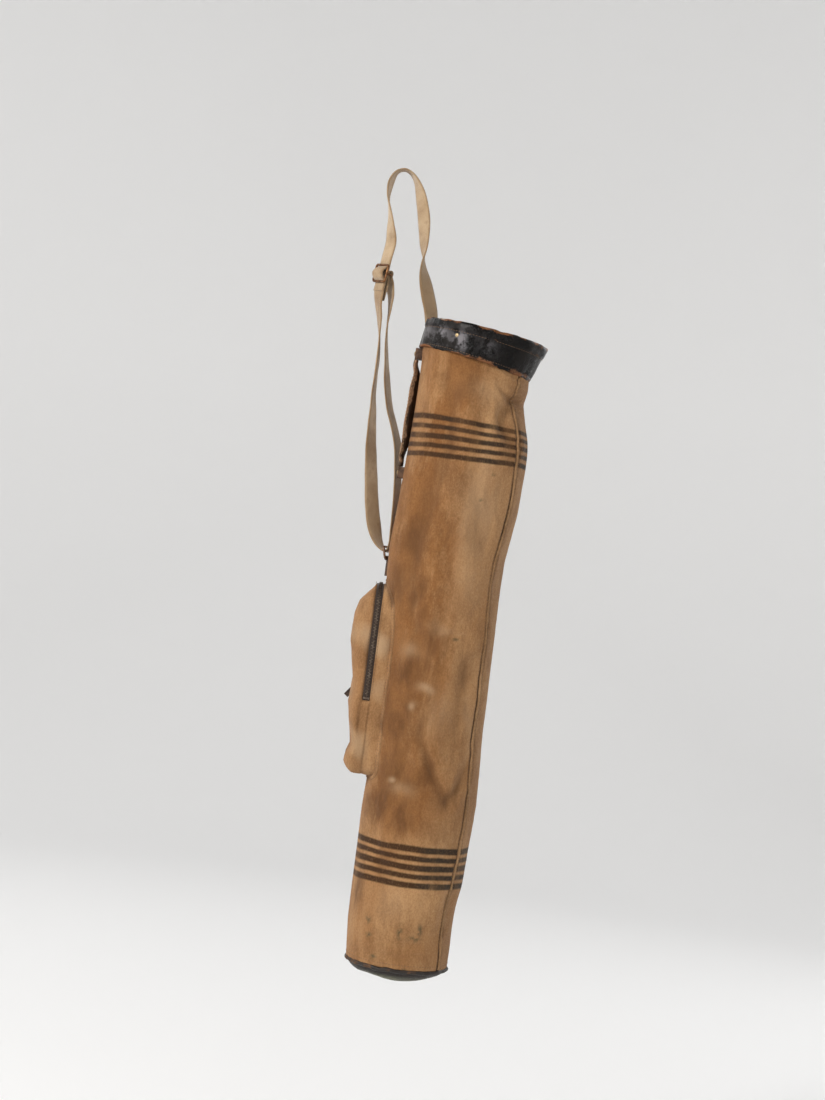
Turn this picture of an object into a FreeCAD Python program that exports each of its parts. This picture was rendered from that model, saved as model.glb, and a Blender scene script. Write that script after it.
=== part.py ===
import FreeCAD, Part
import math
import os
import Sketcher

# A slim canvas golf club bag that hangs by its shoulder strap. Millimetres.
# The layout: +Z runs up the bag from the middle of its foot, -Y is its front, and the strap, handle and
# ball pocket are on its -X side. Every piece is then placed from the hang point, which is the frame's origin:
# the underside of the strap at its highest point, where a peg or hook bears.

V = FreeCAD.Vector

DIMENSIONS = {
    # the hang point in the layout
    "hang_across": -124.5,
    "hang_behind": 56,
    "hang_above": 1060.5,
    # ovals across the canvas tube: how far up, how far across, half width, half depth, tilt in degrees
    "foot_up": 2.4, "foot_across": -0.5, "foot_wide": 68.5, "foot_deep": 68, "foot_tilt": 0,
    "calf_up": 200, "calf_across": 3.5, "calf_wide": 75.5, "calf_deep": 73, "calf_tilt": 0,
    "waist_up": 390, "waist_across": 1.5, "waist_wide": 73.5, "waist_deep": 73, "waist_tilt": 0,
    "hip_up": 545, "hip_across": -2, "hip_wide": 77, "hip_deep": 74.5, "hip_tilt": 0,
    "chest_up": 650, "chest_across": 6.5, "chest_wide": 80, "chest_deep": 75.5, "chest_tilt": 0,
    "throat_up": 750, "throat_across": 4, "throat_wide": 72.6, "throat_deep": 72.4, "throat_tilt": 0,
    "brim_up": 811, "brim_across": 3.2, "brim_wide": 72.8, "brim_deep": 72.8, "brim_tilt": 11,
    # ovals of the leather collar: its lower edge and its top
    "band_up": 806.5, "band_across": 2.2, "band_wide": 75.2, "band_deep": 75.2, "band_tilt": 11,
    "crown_up": 843.6, "crown_across": 13.4, "crown_wide": 80.4, "crown_deep": 80, "crown_tilt": 8,
    "canvas_thick": 1.6, "collar_thick": 2.2, "lining_thick": 1.4,
    "gore_half_angle": 36, "welt_half_angle": 1.1, "welt_proud": 1.4, "axis_across": 2, "sector_radius": 130,
    "sector_tall": 900,
    # rim: a steel hoop inside a rolled leather binding
    "rim_above_crown": 2.9, "binding_radius": 2.7, "hoop_radius": 1.5,
    # foot
    "piping_ring": 66.6, "piping_radius": 2.3, "cup_radius": 64.2, "cup_deep": 21, "cup_flat": 20,
    "cup_thick": 2, "board_radius": 66.2, "board_thick": 3,
    # stay down the strap side of the tube, in a canvas sleeve
    "stay_across": -61.5, "stay_thick": 3.5, "stay_wide": 12, "stay_long": 780, "sleeve_thick": 0.8,
    # webbing, its slider and the lower ring
    "webbing_wide": 25.4, "webbing_thick": 2.5, "wire_radius": 1.6, "slider_wide": 30, "slider_tall": 23,
    "slider_across": -136.4, "slider_behind": 53, "slider_up": 917, "slider_turn": 123,
    "slider_out": 3.3, "bar_in": 5.7, "loop_gap": 0.15, "loop_thick": 2,
    "ring_across": -79.6, "ring_behind": 25.4, "ring_up": 534, "ring_wide": 30, "ring_tall": 15.2,
    "ring_wire": 1.5, "ring_lean": 13.6, "ring_round": 18, "chape_wide": 17, "chape_thick": 1.6, "chape_tall": 24,
    # strap anchor on the collar
    "anchor_angle": 150, "patch_wide": 29, "patch_tall": 30, "patch_thick": 2,
    # carry handle
    "handle_behind": 8, "handle_wide": 19, "handle_thick": 6, "core_wide": 12, "core_thick": 2.8,
    "tab_wide": 20, "tab_out": 2.6, "tab_tall": 15,
    "top_rivet_grip": 11.9, "low_rivet_grip": 9.9, "rivet_grip_step": 1.7,
    # ball pocket on the strap side, an arch in outline
    "pocket_half": 36, "pocket_low": 247, "pocket_spring": 464, "pocket_root": -56, "pocket_edge": -79.4,
    "pocket_lip": -89.6, "pocket_face": -111.5, "pocket_taper": 10, "flange_wide": 6.5, "flange_thick": 1.2,
    "zip_end": 344, "tape_thick": 1, "zip_across": -84.5, "tape_gap": 0.4, "tooth_pitch": 4,
    "tooth_long": 1.7, "tooth_wide": 3, "tooth_tall": 1.7, "runner_up": 378, "runner_long": 12,
    "runner_wide": 10.4, "runner_thick": 1.5, "pin_radius": 0.8, "pin_play": 0.06,
    # rivets
    "rivet_head": 4, "rivet_dome": 1.6, "rivet_shank": 1.6, "clench_play": 0.3,
}

TUBE_STATIONS = ("foot", "calf", "waist", "hip", "chest", "throat", "brim")
COLLAR_STATIONS = ("band", "crown")

# The strap's run as (across, behind, above, turn of its width from +X in degrees). The first list climbs from the
# collar over the hang point, down through the slider and round the lower ring. It is straight where the slider
# travels, which is between its run_top and run_foot stations.
RUN_TOP = (-130.5, 53, 962, 123)
RUN_FOOT = (-139.2, 53, 895, 123)
STRAP_UP = [
    (-63.4, 39.3, 822, 60), (-59, 40.9, 847, 60), (-63.6, 43.6, 874.5, 54), (-75, 47.6, 900, 50),
    (-80.6, 50, 922.5, 60), (-82.2, 51.5, 941.5, 84), (-83.6, 53, 960, 110), (-89, 54, 991, 126),
    (-95.6, 55, 1019, 126), (-103, 55.5, 1042.5, 114), (-112.5, 56, 1056, 98), (-124.5, 56, 1061.75, 90),
    (-134.2, 56, 1057.4, 84), (-140.4, 56, 1044, 76), (-142, 55.5, 1025.5, 82), (-137.6, 54.5, 1005.5, 95),
    (-133.4, 53.6, 985, 112),
]
STRAP_DOWN = [
    (-137, 52, 875, 110), (-132.4, 50.5, 855, 100), (-130, 49, 833, 90), (-128.6, 47, 796, 84), (-127, 44.5, 759, 79),
    (-124.4, 41, 717.5, 72), (-118.6, 38, 673.5, 62), (-112.6, 35.5, 635, 54), (-106.4, 33, 600, 48),
    (-100.4, 31.4, 573, 52), (-93.6, 29.6, 553, 66), (-87.4, 27.9, 543.8, 72), (-82.6, 26.4, 542.4, 72),
]
STRAP_RETURN = [
    (-81.6, 26.1, 542.6, 72), (-79.2, 25.5, 546, 72), (-77.8, 25.6, 555, 75), (-77.3, 27.4, 580, 83),
    (-78.4, 30.2, 625, 88), (-81.6, 33, 656, 86), (-86.2, 36, 688, 76), (-95.4, 39, 714, 70), (-103.4, 41.5, 735, 70),
    (-110.4, 43.5, 764, 73), (-115.4, 46, 795, 78), (-120.2, 48.5, 825, 85), (-122.8, 50.5, 849, 90),
    (-123.2, 52.5, 873, 95),
]
STRAP_TAIL = [
    (-126.8, 59.4, 904, 118), (-121, 60, 889, 106), (-118.4, 57.6, 871, 96), (-118, 54.6, 852, 90),
    (-117.4, 51.6, 834, 86),
]

# The handle's line as (across, above): straight at both ends, so that it turns in place between its tabs.
HANDLE_LINE = [
    (-75.6, 802), (-75.9, 796), (-79.4, 782), (-81.2, 765), (-81.7, 742), (-81.4, 716), (-80.4, 692), (-79.2, 672),
    (-78.8, 664), (-78.8, 658.5),
]

doc = FreeCAD.newDocument("golf_club_bag")
sheet = doc.addObject("Spreadsheet::Sheet", "dims")
for row, (alias, value) in enumerate(DIMENSIONS.items(), start=1):
    sheet.set(f"A{row}", alias)
    sheet.set(f"B{row}", str(value))
    sheet.setAlias(f"B{row}", alias)
doc.recompute()

parts = []


def size(expression):
    """The value of an expression of the sheet's aliases."""
    return float(sheet.evalExpression(expression))


def keep(thing, label, across="0", behind="0", above="0", turned=None):
    """Names a finished piece and places it from the hang point, at a spot given in the layout."""
    thing.Label = label
    thing.Placement = FreeCAD.Placement(V(), turned or FreeCAD.Rotation())
    thing.setExpression("Placement.Base.x", f"{across} - dims.hang_across")
    thing.setExpression("Placement.Base.y", f"{behind} - dims.hang_behind")
    thing.setExpression("Placement.Base.z", f"{above} - dims.hang_above")
    parts.append(thing)
    return thing


def shaped(label, shape, *where):
    """A piece whose shape is made in code, in the layout's coordinates or about the spot it is placed at."""
    thing = doc.addObject("Part::Feature", label)
    thing.Shape = Part.makeCompound([shape])
    return keep(thing, label, *where)


def boolean(kind, name, base, tool):
    """A Part::Cut, Part::Common or Part::Fuse of two objects."""
    result = doc.addObject(f"Part::{kind}", name)
    result.Base = base
    result.Tool = tool
    return result


# --- the canvas tube and the collar, lofted through ovals ---------------------------------------------------------

def oval(name, station, grow):
    """A closed oval at a station, grown outwards from the station's own outline by a sheet expression."""
    ring = doc.addObject("Part::Ellipse", name)
    ring.setExpression("MajorRadius", f"dims.{station}_wide + ({grow})")
    ring.setExpression("MinorRadius", f"dims.{station}_deep + ({grow})")
    ring.Placement = FreeCAD.Placement(V(), FreeCAD.Rotation(V(0, 1, 0), 1))
    ring.setExpression("Placement.Rotation.Angle", f"dims.{station}_tilt")
    ring.setExpression("Placement.Base.x", f"dims.{station}_across")
    ring.setExpression("Placement.Base.z", f"dims.{station}_up")
    return ring


def plug(name, stations, grow):
    """A solid lofted through the ovals of the given stations."""
    loft = doc.addObject("Part::Loft", name)
    loft.Sections = [oval(f"{name}_{station}", station, grow) for station in stations]
    loft.Solid = True
    return loft


def sleeve(name, stations, outer, inner):
    """A thin tube between two lofts of the same stations."""
    return boolean("Cut", name, plug(f"{name}_outside", stations, outer), plug(f"{name}_inside", stations, inner))


def sector(name, start, sweep):
    """A wedge about the tube's axis that starts at an angle from +X and sweeps round by another."""
    wedge = doc.addObject("Part::Cylinder", name)
    wedge.setExpression("Radius", "dims.sector_radius")
    wedge.setExpression("Height", "dims.sector_tall")
    wedge.setExpression("Angle", sweep)
    wedge.Placement = FreeCAD.Placement(V(0, 0, -20), FreeCAD.Rotation(V(0, 0, 1), 1))
    wedge.setExpression("Placement.Rotation.Angle", start)
    wedge.setExpression("Placement.Base.x", "dims.axis_across")
    return wedge


def canvas_panels():
    """Front, back and gore: three lengths of canvas, joined by two welts and by the seam down the stay."""
    tube = sleeve("canvas_tube", TUBE_STATIONS, "0", "-dims.canvas_thick")
    half, seam = "dims.gore_half_angle", "dims.welt_half_angle"
    spans = {
        "front_panel": ("180", f"180 - {half} - {seam}"),
        "side_gore": (f"360 - {half} + {seam}", f"2 * {half} - 2 * {seam}"),
        "back_panel": (f"{half} + {seam}", f"180 - {half} - {seam}"),
    }
    for label, (start, sweep) in spans.items():
        keep(boolean("Common", label, tube, sector(f"{label}_span", start, sweep)), label)


def welts():
    """The two piped seams that run the canvas's whole length and stand proud of it, up to the collar's edge."""
    proud = sleeve("proud_tube", TUBE_STATIONS, "dims.welt_proud", "-dims.canvas_thick")
    for label, middle in (("front_welt", "360 - dims.gore_half_angle"), ("back_welt", "dims.gore_half_angle")):
        span = sector(f"{label}_span", f"{middle} - dims.welt_half_angle", "2 * dims.welt_half_angle")
        strip = boolean("Common", f"{label}_strip", proud, span)
        keep(boolean("Cut", label, strip, plug(f"{label}_top", COLLAR_STATIONS, "0.3")), label)


def rim_ring(name, radius):
    """A ring of round section that lies along the rim, just above the collar's top."""
    ring = doc.addObject("Part::Torus", name)
    ring.setExpression("Radius1", "dims.crown_wide - dims.collar_thick")
    ring.setExpression("Radius2", radius)
    ring.Placement = FreeCAD.Placement(V(), FreeCAD.Rotation(V(0, 1, 0), 1))
    ring.setExpression("Placement.Rotation.Angle", "dims.crown_tilt")
    ring.setExpression("Placement.Base.x", "dims.crown_across + dims.rim_above_crown * sin(dims.crown_tilt)")
    ring.setExpression("Placement.Base.z", "dims.crown_up + dims.rim_above_crown * cos(dims.crown_tilt)")
    return ring


def collar():
    """A stiff leather band and its lining, with a steel hoop inside the rolled binding at the rim."""
    keep(sleeve("collar_band", COLLAR_STATIONS, "0", "-dims.collar_thick"), "collar_band")
    lining_gap = "-dims.collar_thick - 0.1"
    lining = sleeve("lining_tube", COLLAR_STATIONS, lining_gap, f"{lining_gap} - dims.lining_thick")
    keep(boolean("Cut", "collar_lining", lining, plug("canvas_top", TUBE_STATIONS, "0.2")), "collar_lining")
    keep(boolean("Cut", "rim_binding", rim_ring("binding_roll", "dims.binding_radius"),
                 rim_ring("binding_bore", "dims.hoop_radius + 0.05")), "rim_binding")
    hoop = rim_ring("mouth_hoop", "dims.hoop_radius")
    turned = FreeCAD.Rotation(V(0, 1, 0), size("crown_tilt"))
    keep(hoop, "mouth_hoop", "dims.crown_across + dims.rim_above_crown * sin(dims.crown_tilt)", "0",
         "dims.crown_up + dims.rim_above_crown * cos(dims.crown_tilt)", turned)


# --- sketches -----------------------------------------------------------------------------------------------------

def new_body(label):
    """An empty PartDesign body."""
    return doc.addObject("PartDesign::Body", label)


def sketch_on(body, plane, name, raised="0"):
    """A sketch on one of the body's own origin planes, raised along that plane's normal."""
    drawing = body.newObject("Sketcher::SketchObject", name)
    support = [o for o in body.Origin.OriginFeatures if o.Role == plane][0]
    drawing.AttachmentSupport = [(support, "")]
    drawing.MapMode = "FlatFace"
    drawing.setExpression("AttachmentOffset.Base.z", raised)
    return drawing


def pin_point(drawing, edge, end, across, above):
    """Holds one end of an edge at a point given as two sheet expressions."""
    for axis, expression in (("DistanceX", across), ("DistanceY", above)):
        rule = drawing.addConstraint(Sketcher.Constraint(axis, -1, 1, edge, end, size(expression)))
        drawing.setExpression(f"Constraints[{rule}]", named(expression))


def named(expression):
    """The expression with each of the sheet's aliases written as a cell of the sheet."""
    words = expression.replace("(", " ( ").replace(")", " ) ").split()
    return " ".join(f"dims.{word}" if word in DIMENSIONS else word for word in words)


def closed_outline(drawing, corners):
    """Straight edges through corners given as pairs of sheet expressions."""
    spots = [V(size(across), size(above), 0) for across, above in corners]
    count = len(corners)
    start = drawing.GeometryCount
    for i in range(count):
        drawing.addGeometry(Part.LineSegment(spots[i], spots[(i + 1) % count]))
    for i in range(count):
        following = start + (i + 1) % count
        drawing.addConstraint(Sketcher.Constraint("Coincident", start + i, 2, following, 1))
        pin_point(drawing, start + i, 1, *corners[i])


def arch_outline(drawing, half, low, spring):
    """A closed arch: a flat foot at low, two legs to the spring line and a half circle over them."""
    left, right = V(-size(half), size(low), 0), V(size(half), size(low), 0)
    left_top, right_top = V(-size(half), size(spring), 0), V(size(half), size(spring), 0)
    start = drawing.GeometryCount
    drawing.addGeometry(Part.LineSegment(left, right))
    drawing.addGeometry(Part.LineSegment(right, right_top))
    circle = Part.Circle(V(0, size(spring), 0), V(0, 0, 1), size(half))
    drawing.addGeometry(Part.ArcOfCircle(circle, 0, math.pi))
    drawing.addGeometry(Part.LineSegment(left_top, left))
    for i in range(4):
        drawing.addConstraint(Sketcher.Constraint("Coincident", start + i, 2, start + (i + 1) % 4, 1))
    pin_point(drawing, start, 1, f"0 - ( {half} )", low)
    pin_point(drawing, start + 1, 1, half, low)
    pin_point(drawing, start + 2, 1, half, spring)
    pin_point(drawing, start + 3, 1, f"0 - ( {half} )", spring)
    centre = drawing.addConstraint(Sketcher.Constraint("DistanceY", -1, 1, start + 2, 3, size(spring)))
    drawing.setExpression(f"Constraints[{centre}]", named(spring))


def pad(body, drawing, length, name):
    """A pad of a sketch along its plane's normal."""
    feature = body.newObject("PartDesign::Pad", name)
    feature.Profile = drawing
    feature.setExpression("Length", named(length))
    body.Tip = feature
    return feature


# --- foot ---------------------------------------------------------------------------------------------------------

def foot():
    """A piped rim, a shallow moulded cup below it with a small flat, and a stiff board inside the tube."""
    piping = doc.addObject("Part::Torus", "base_piping")
    piping.setExpression("Radius1", "dims.piping_ring")
    piping.setExpression("Radius2", "dims.piping_radius")
    keep(piping, "base_piping", "dims.foot_across")

    cup = new_body("base_cup")
    drawing = sketch_on(cup, "XZ_Plane", "cup_section")
    rim, deep, thick = "cup_radius", "cup_deep", "cup_thick"
    closed_outline(drawing, [
        ("0", f"0 - {deep}"), ("cup_flat", f"0 - {deep}"), (f"{rim} * 0.72", f"0 - {deep} * 0.66"),
        (f"{rim} * 0.93", f"0 - {deep} * 0.27"), (rim, "0"), (f"{rim} - {thick}", "0"),
        (f"{rim} * 0.91 - {thick}", f"0 - {deep} * 0.21"), (f"{rim} * 0.7 - {thick}", f"{thick} - {deep} * 0.7"),
        (f"cup_flat - {thick}", f"{thick} - {deep}"), ("0", f"{thick} - {deep}"),
    ])
    spin = cup.newObject("PartDesign::Revolution", "cup_turn")
    spin.Profile = drawing
    spin.ReferenceAxis = (drawing, ["V_Axis"])
    spin.Angle = 360
    keep(cup, "base_cup", "dims.foot_across")

    board = doc.addObject("Part::Cylinder", "base_board")
    board.setExpression("Radius", "dims.board_radius")
    board.setExpression("Height", "dims.board_thick")
    keep(board, "base_board", "dims.foot_across", "0", "dims.foot_up + 0.2")


def stay():
    """A springy slat that keeps the strap side straight, inside a flat canvas sleeve."""
    for label, grow in (("spine_stay", "0"), ("stay_pocket", "0.2"), ("stay_cover", "0.2 + dims.sleeve_thick")):
        slat = doc.addObject("Part::Box", label)
        slat.setExpression("Length", f"dims.stay_thick + 2 * ({grow})")
        slat.setExpression("Width", f"dims.stay_wide + 2 * ({grow})")
        slat.setExpression("Height", "dims.stay_long")
        slat.setExpression("Placement.Base.x", f"0 - ({grow})")
        slat.setExpression("Placement.Base.y", f"0 - ({grow})")
    cover = boolean("Cut", "stay_sleeve", doc.getObject("stay_cover"), doc.getObject("stay_pocket"))
    spot = ("dims.stay_across - dims.stay_thick", "0 - dims.stay_wide / 2", "dims.foot_up + 5.2")
    keep(doc.getObject("spine_stay"), "spine_stay", *spot)
    keep(cover, "stay_sleeve", *spot)


# --- webbing and wire ---------------------------------------------------------------------------------------------

def ribbon(stations, wide, thick):
    """A flat band through stations of (across, behind, above, turn of the width from +X)."""
    spots = [V(*station[:3]) for station in stations]
    frames = []
    for i, station in enumerate(stations):
        along = (spots[min(i + 1, len(spots) - 1)] - spots[max(i - 1, 0)]).normalize()
        turn = math.radians(station[3])
        width = V(math.cos(turn), math.sin(turn), 0)
        width = (width - along * width.dot(along)).normalize()
        side, face = width * (wide / 2), along.cross(width) * (thick / 2)
        corners = [spots[i] + side + face, spots[i] - side + face, spots[i] - side - face, spots[i] + side - face]
        frames.append(Part.makePolygon(corners + corners[:1]))
    return Part.makeLoft(frames, True, True)


def wire_path(points, corner):
    """Straight runs through points with tangent arcs of one radius at the corners between them."""
    edges = []
    begin = points[0]
    for before, here, after in zip(points, points[1:], points[2:]):
        back = (before - here).normalize()
        ahead = (after - here).normalize()
        reach = corner / math.tan(back.getAngle(ahead) / 2)
        enter, leave = here + back * reach, here + ahead * reach
        inward = (back + ahead).normalize()
        middle = here + inward * (math.hypot(reach, corner) - corner)
        edges.append(Part.LineSegment(begin, enter).toShape())
        edges.append(Part.Arc(enter, middle, leave).toShape())
        begin = leave
    edges.append(Part.LineSegment(begin, points[-1]).toShape())
    return Part.Wire(edges)


def round_wire(path, radius):
    """A rod of round section along a path."""
    edge = path.Edges[0]
    start = edge.valueAt(edge.FirstParameter)
    along = edge.tangentAt(edge.FirstParameter)
    ring = Part.Wire([Part.makeCircle(radius, start, along)])
    return path.makePipeShell([ring], True, False)


def wire_frame(wide, tall, radius):
    """A closed rounded oblong of wire in the local XZ plane: its centre lines are wide by tall apart."""
    half, corner = wide / 2, radius * 2
    points = [V(0, 0, 0), V(half, 0, 0), V(half, 0, tall), V(-half, 0, tall), V(-half, 0, 0), V(0, 0, 0)]
    return round_wire(wire_path(points, corner), radius)


def slider_turned():
    """The slider's attitude: local X across the webbing, local Y to its inner face, local Z up its run."""
    run = (V(*RUN_TOP[:3]) - V(*RUN_FOOT[:3])).normalize()
    turn = math.radians(size("slider_turn"))
    inner = V(math.sin(turn), -math.cos(turn), 0)
    inner = (inner - run * inner.dot(run)).normalize()
    return FreeCAD.Rotation(inner.cross(run), inner, run, "ZYX")


def on_slider(label, shape):
    """A piece modelled about the slider's centre and set on the strap's run."""
    shaped(label, shape, "dims.slider_across", "dims.slider_behind", "dims.slider_up", slider_turned())


def strap():
    """One length of webbing in three solids: the strap itself, its return from the ring and its sewn end."""
    wide, thick = size("webbing_wide"), size("webbing_thick")
    shaped("shoulder_strap", ribbon(STRAP_UP + [RUN_TOP, RUN_FOOT] + STRAP_DOWN, wide, thick))
    shaped("strap_return", ribbon(STRAP_RETURN, wide, thick))

    wire, out, inward = size("wire_radius"), size("slider_out"), size("bar_in")
    half, tall = size("slider_wide") / 2, size("slider_tall")
    frame = wire_frame(2 * half, tall, wire)
    frame.translate(V(0, -out, -tall / 2))
    on_slider("slider_frame", frame)
    foot_of_arm = wire * 0.6 - out
    bar = wire_path([V(-half, foot_of_arm, 0), V(-half, inward, 0), V(half, inward, 0), V(half, foot_of_arm, 0)],
                    wire * 1.5)
    on_slider("slider_bar", round_wire(bar, wire * 0.9))

    bore = wire * 0.9 + size("loop_gap")
    axis = V(1, 0, 0)
    end = V(-wide / 2, inward, 0)
    loop = Part.makeCylinder(bore + size("loop_thick"), wide, end, axis)
    turned = slider_turned()
    centre = V(size("slider_across"), size("slider_behind"), size("slider_up"))
    first = centre + turned.multVec(V(0, inward + bore + size("webbing_thick") / 2 + 0.05, 0))
    tail = ribbon([(first.x, first.y, first.z, size("slider_turn"))] + STRAP_TAIL, wide, thick)
    tail.translate(centre * -1)
    tail.rotate(V(), turned.Axis, -math.degrees(turned.Angle))
    hole = Part.makeCylinder(bore, wide + 4, end - axis * 2, axis)
    on_slider("strap_end_loop", loop.fuse(tail).cut(hole).removeSplitter())


def ring():
    """The oblong ring that the strap turns round, and the leather chape that holds it to the bag."""
    spot = ("dims.ring_across", "dims.ring_behind", "dims.ring_up")
    round_bag = FreeCAD.Rotation(V(0, 0, 1), -size("ring_round"))
    lean = FreeCAD.Rotation(V(0, 1, 0), -size("ring_lean"))
    oblong = wire_frame(size("ring_wide"), size("ring_tall"), size("ring_wire"))
    shaped("lower_ring", oblong, *spot, round_bag.multiply(lean).multiply(FreeCAD.Rotation(V(0, 0, 1), 90)))

    wide, thick, tall = size("chape_wide"), size("chape_thick"), size("chape_tall")
    bore = size("ring_wire") + 0.08
    loop = Part.makeCylinder(bore + thick, wide, V(0, -wide / 2, 0), V(0, 1, 0))
    leaf = Part.makeBox(14, wide, tall, V(0.4, -wide / 2, -tall))
    hole = Part.makeCylinder(bore, wide + 4, V(0, -wide / 2 - 2, 0), V(0, 1, 0))
    stud = V(0.3, 0, -tall * 0.62)
    stud_hole = Part.makeCylinder(size("rivet_shank") + 0.05, 20, stud, V(1, 0, 0))
    folded = loop.fuse(leaf).cut([hole, stud_hole])
    centre = V(size(spot[0][5:]), size(spot[1][5:]), size(spot[2][5:]))
    folded.Placement = FreeCAD.Placement(centre, round_bag)
    blank = doc.addObject("Part::Feature", "chape_blank")
    blank.Shape = folded
    keep(boolean("Cut", "ring_chape", blank, plug("chape_seat", TUBE_STATIONS, "0.1")), "ring_chape")
    outward = round_bag.multVec(V(-1, 0, 0))
    rivets("chape_rivet", [(centre + round_bag.multVec(stud), outward, 7)], 0.9)


def rivet(radius, dome, shank, grip):
    """A domed rivet with its seat at the origin: the head rises along +Z and the shank goes down to a burr."""
    ball = (radius ** 2 + dome ** 2) / (2 * dome)
    head = Part.makeSphere(ball, V(0, 0, dome - ball)).common(Part.makeCylinder(radius + 1, dome + 1))
    stem = Part.makeCylinder(shank, grip, V(0, 0, -grip))
    burr = Part.makeCylinder(radius * 0.8, 0.8, V(0, 0, -grip - 0.8))
    return head.fuse([stem, burr]).removeSplitter()


def rivets(label, seats, scale):
    """Rivets at seats given as (point, outward direction, grip), each clenched behind all that it goes through."""
    solids = []
    for point, outward, grip in seats:
        one = rivet(size("rivet_head") * scale, size("rivet_dome") * scale, size("rivet_shank") * scale, grip)
        one.Placement = FreeCAD.Placement(point, FreeCAD.Rotation(V(0, 0, 1), outward))
        solids.append(one)
    shaped(label, Part.makeCompound(solids))


def collar_seat(angle, share, off):
    """A point off the collar's outside at an angle from +X and a share of its height, with its outward direction."""
    def rim_point(station):
        tilt = math.radians(size(f"{station}_tilt"))
        out = size(f"{station}_wide") * math.cos(math.radians(angle))
        return V(size(f"{station}_across") + out * math.cos(tilt),
                 size(f"{station}_deep") * math.sin(math.radians(angle)),
                 size(f"{station}_up") - out * math.sin(tilt))
    low, high = rim_point("band"), rim_point("crown")
    outward = V(math.cos(math.radians(angle)), math.sin(math.radians(angle)), 0)
    up = (high - low).normalize()
    outward = (outward - up * outward.dot(up)).normalize()
    return low + (high - low) * share + outward * off, outward, up


def anchor():
    """The leather patch over the strap's sewn end, riveted to the back of the collar, and the collar's own studs."""
    angle = size("anchor_angle")
    wide, tall, thick = size("patch_wide"), size("patch_tall"), size("patch_thick")
    lift = size("webbing_thick") + 2.6
    spot, outward, up = collar_seat(angle, 0.42, lift)
    plate = Part.makeBox(wide, thick, tall, V(-wide / 2, 0, -tall / 2))
    plate = plate.makeFillet(2, [edge for edge in plate.Edges if abs(edge.tangentAt(0).y) > 0.9])
    plate.Placement = FreeCAD.Placement(spot, FreeCAD.Rotation(outward.cross(up), outward, up, "YZX"))
    collar = size("collar_thick") + size("lining_thick") + size("clench_play")
    grip = lift + thick + collar
    seats = [(spot + outward * (thick + 0.05) + up * step, outward, grip) for step in (-7, 9)]
    holes = [Part.makeCylinder(size("rivet_shank") + 0.05, 3 * grip, point + out * grip, out * -1)
             for point, out, _ in seats]
    shaped("anchor_patch", plate.cut(holes))
    studs = [(*collar_seat(at, 0.62, 0.05)[:2], collar) for at in (-117, -27, 63)]
    rivets("collar_studs", studs, 0.8)
    rivets("anchor_rivets", seats, 0.9)


# --- carry handle -------------------------------------------------------------------------------------------------

def handle():
    """A stitched leather grip over a cord core, between two leather tabs riveted to the bag."""
    behind = size("handle_behind")
    line = [(across, behind, above, 90) for across, above in HANDLE_LINE]
    cover = ribbon(line, size("handle_wide"), size("handle_thick"))
    inner = line[1:-1]
    core = ribbon(inner, size("core_wide"), size("core_thick"))
    room = ribbon(inner, size("core_wide") + 0.1, size("core_thick") + 0.1)
    shaped("handle_grip", cover.cut(room))
    shaped("handle_core", core)

    wide, tall, out = size("tab_wide"), size("tab_tall"), size("tab_out")
    top, low = HANDLE_LINE[0], HANDLE_LINE[-1]
    seats = []
    for label, across, foot_up, grip in (
            ("handle_top_tab", top[0] - out, top[1] + 1, size("top_rivet_grip")),
            ("handle_low_tab", low[0] - out, low[1] - 1 - tall, size("low_rivet_grip"))):
        tab = Part.makeBox(20, wide, tall, V(across, behind - wide / 2, foot_up))
        tab = tab.makeFillet(1.6, [edge for edge in tab.Edges if abs(edge.tangentAt(0).x) > 0.9])
        pair = [V(across - 0.05, behind + step, foot_up + tall / 2) for step in (-5.6, 5.6)]
        holes = [Part.makeCylinder(size("rivet_shank") + 0.05, 30, spot, V(1, 0, 0)) for spot in pair]
        blank = doc.addObject("Part::Feature", f"{label}_blank")
        blank.Shape = tab.cut(holes)
        keep(boolean("Cut", label, blank, plug(f"{label}_seat", TUBE_STATIONS, "0.1")), label)
        deeper = grip + size("rivet_grip_step")
        seats += [(pair[0], V(-1, 0, 0), grip), (pair[1], V(-1, 0, 0), deeper)]
    rivets("handle_rivets", seats, 0.85)


# --- ball pocket and its zip --------------------------------------------------------------------------------------

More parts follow.
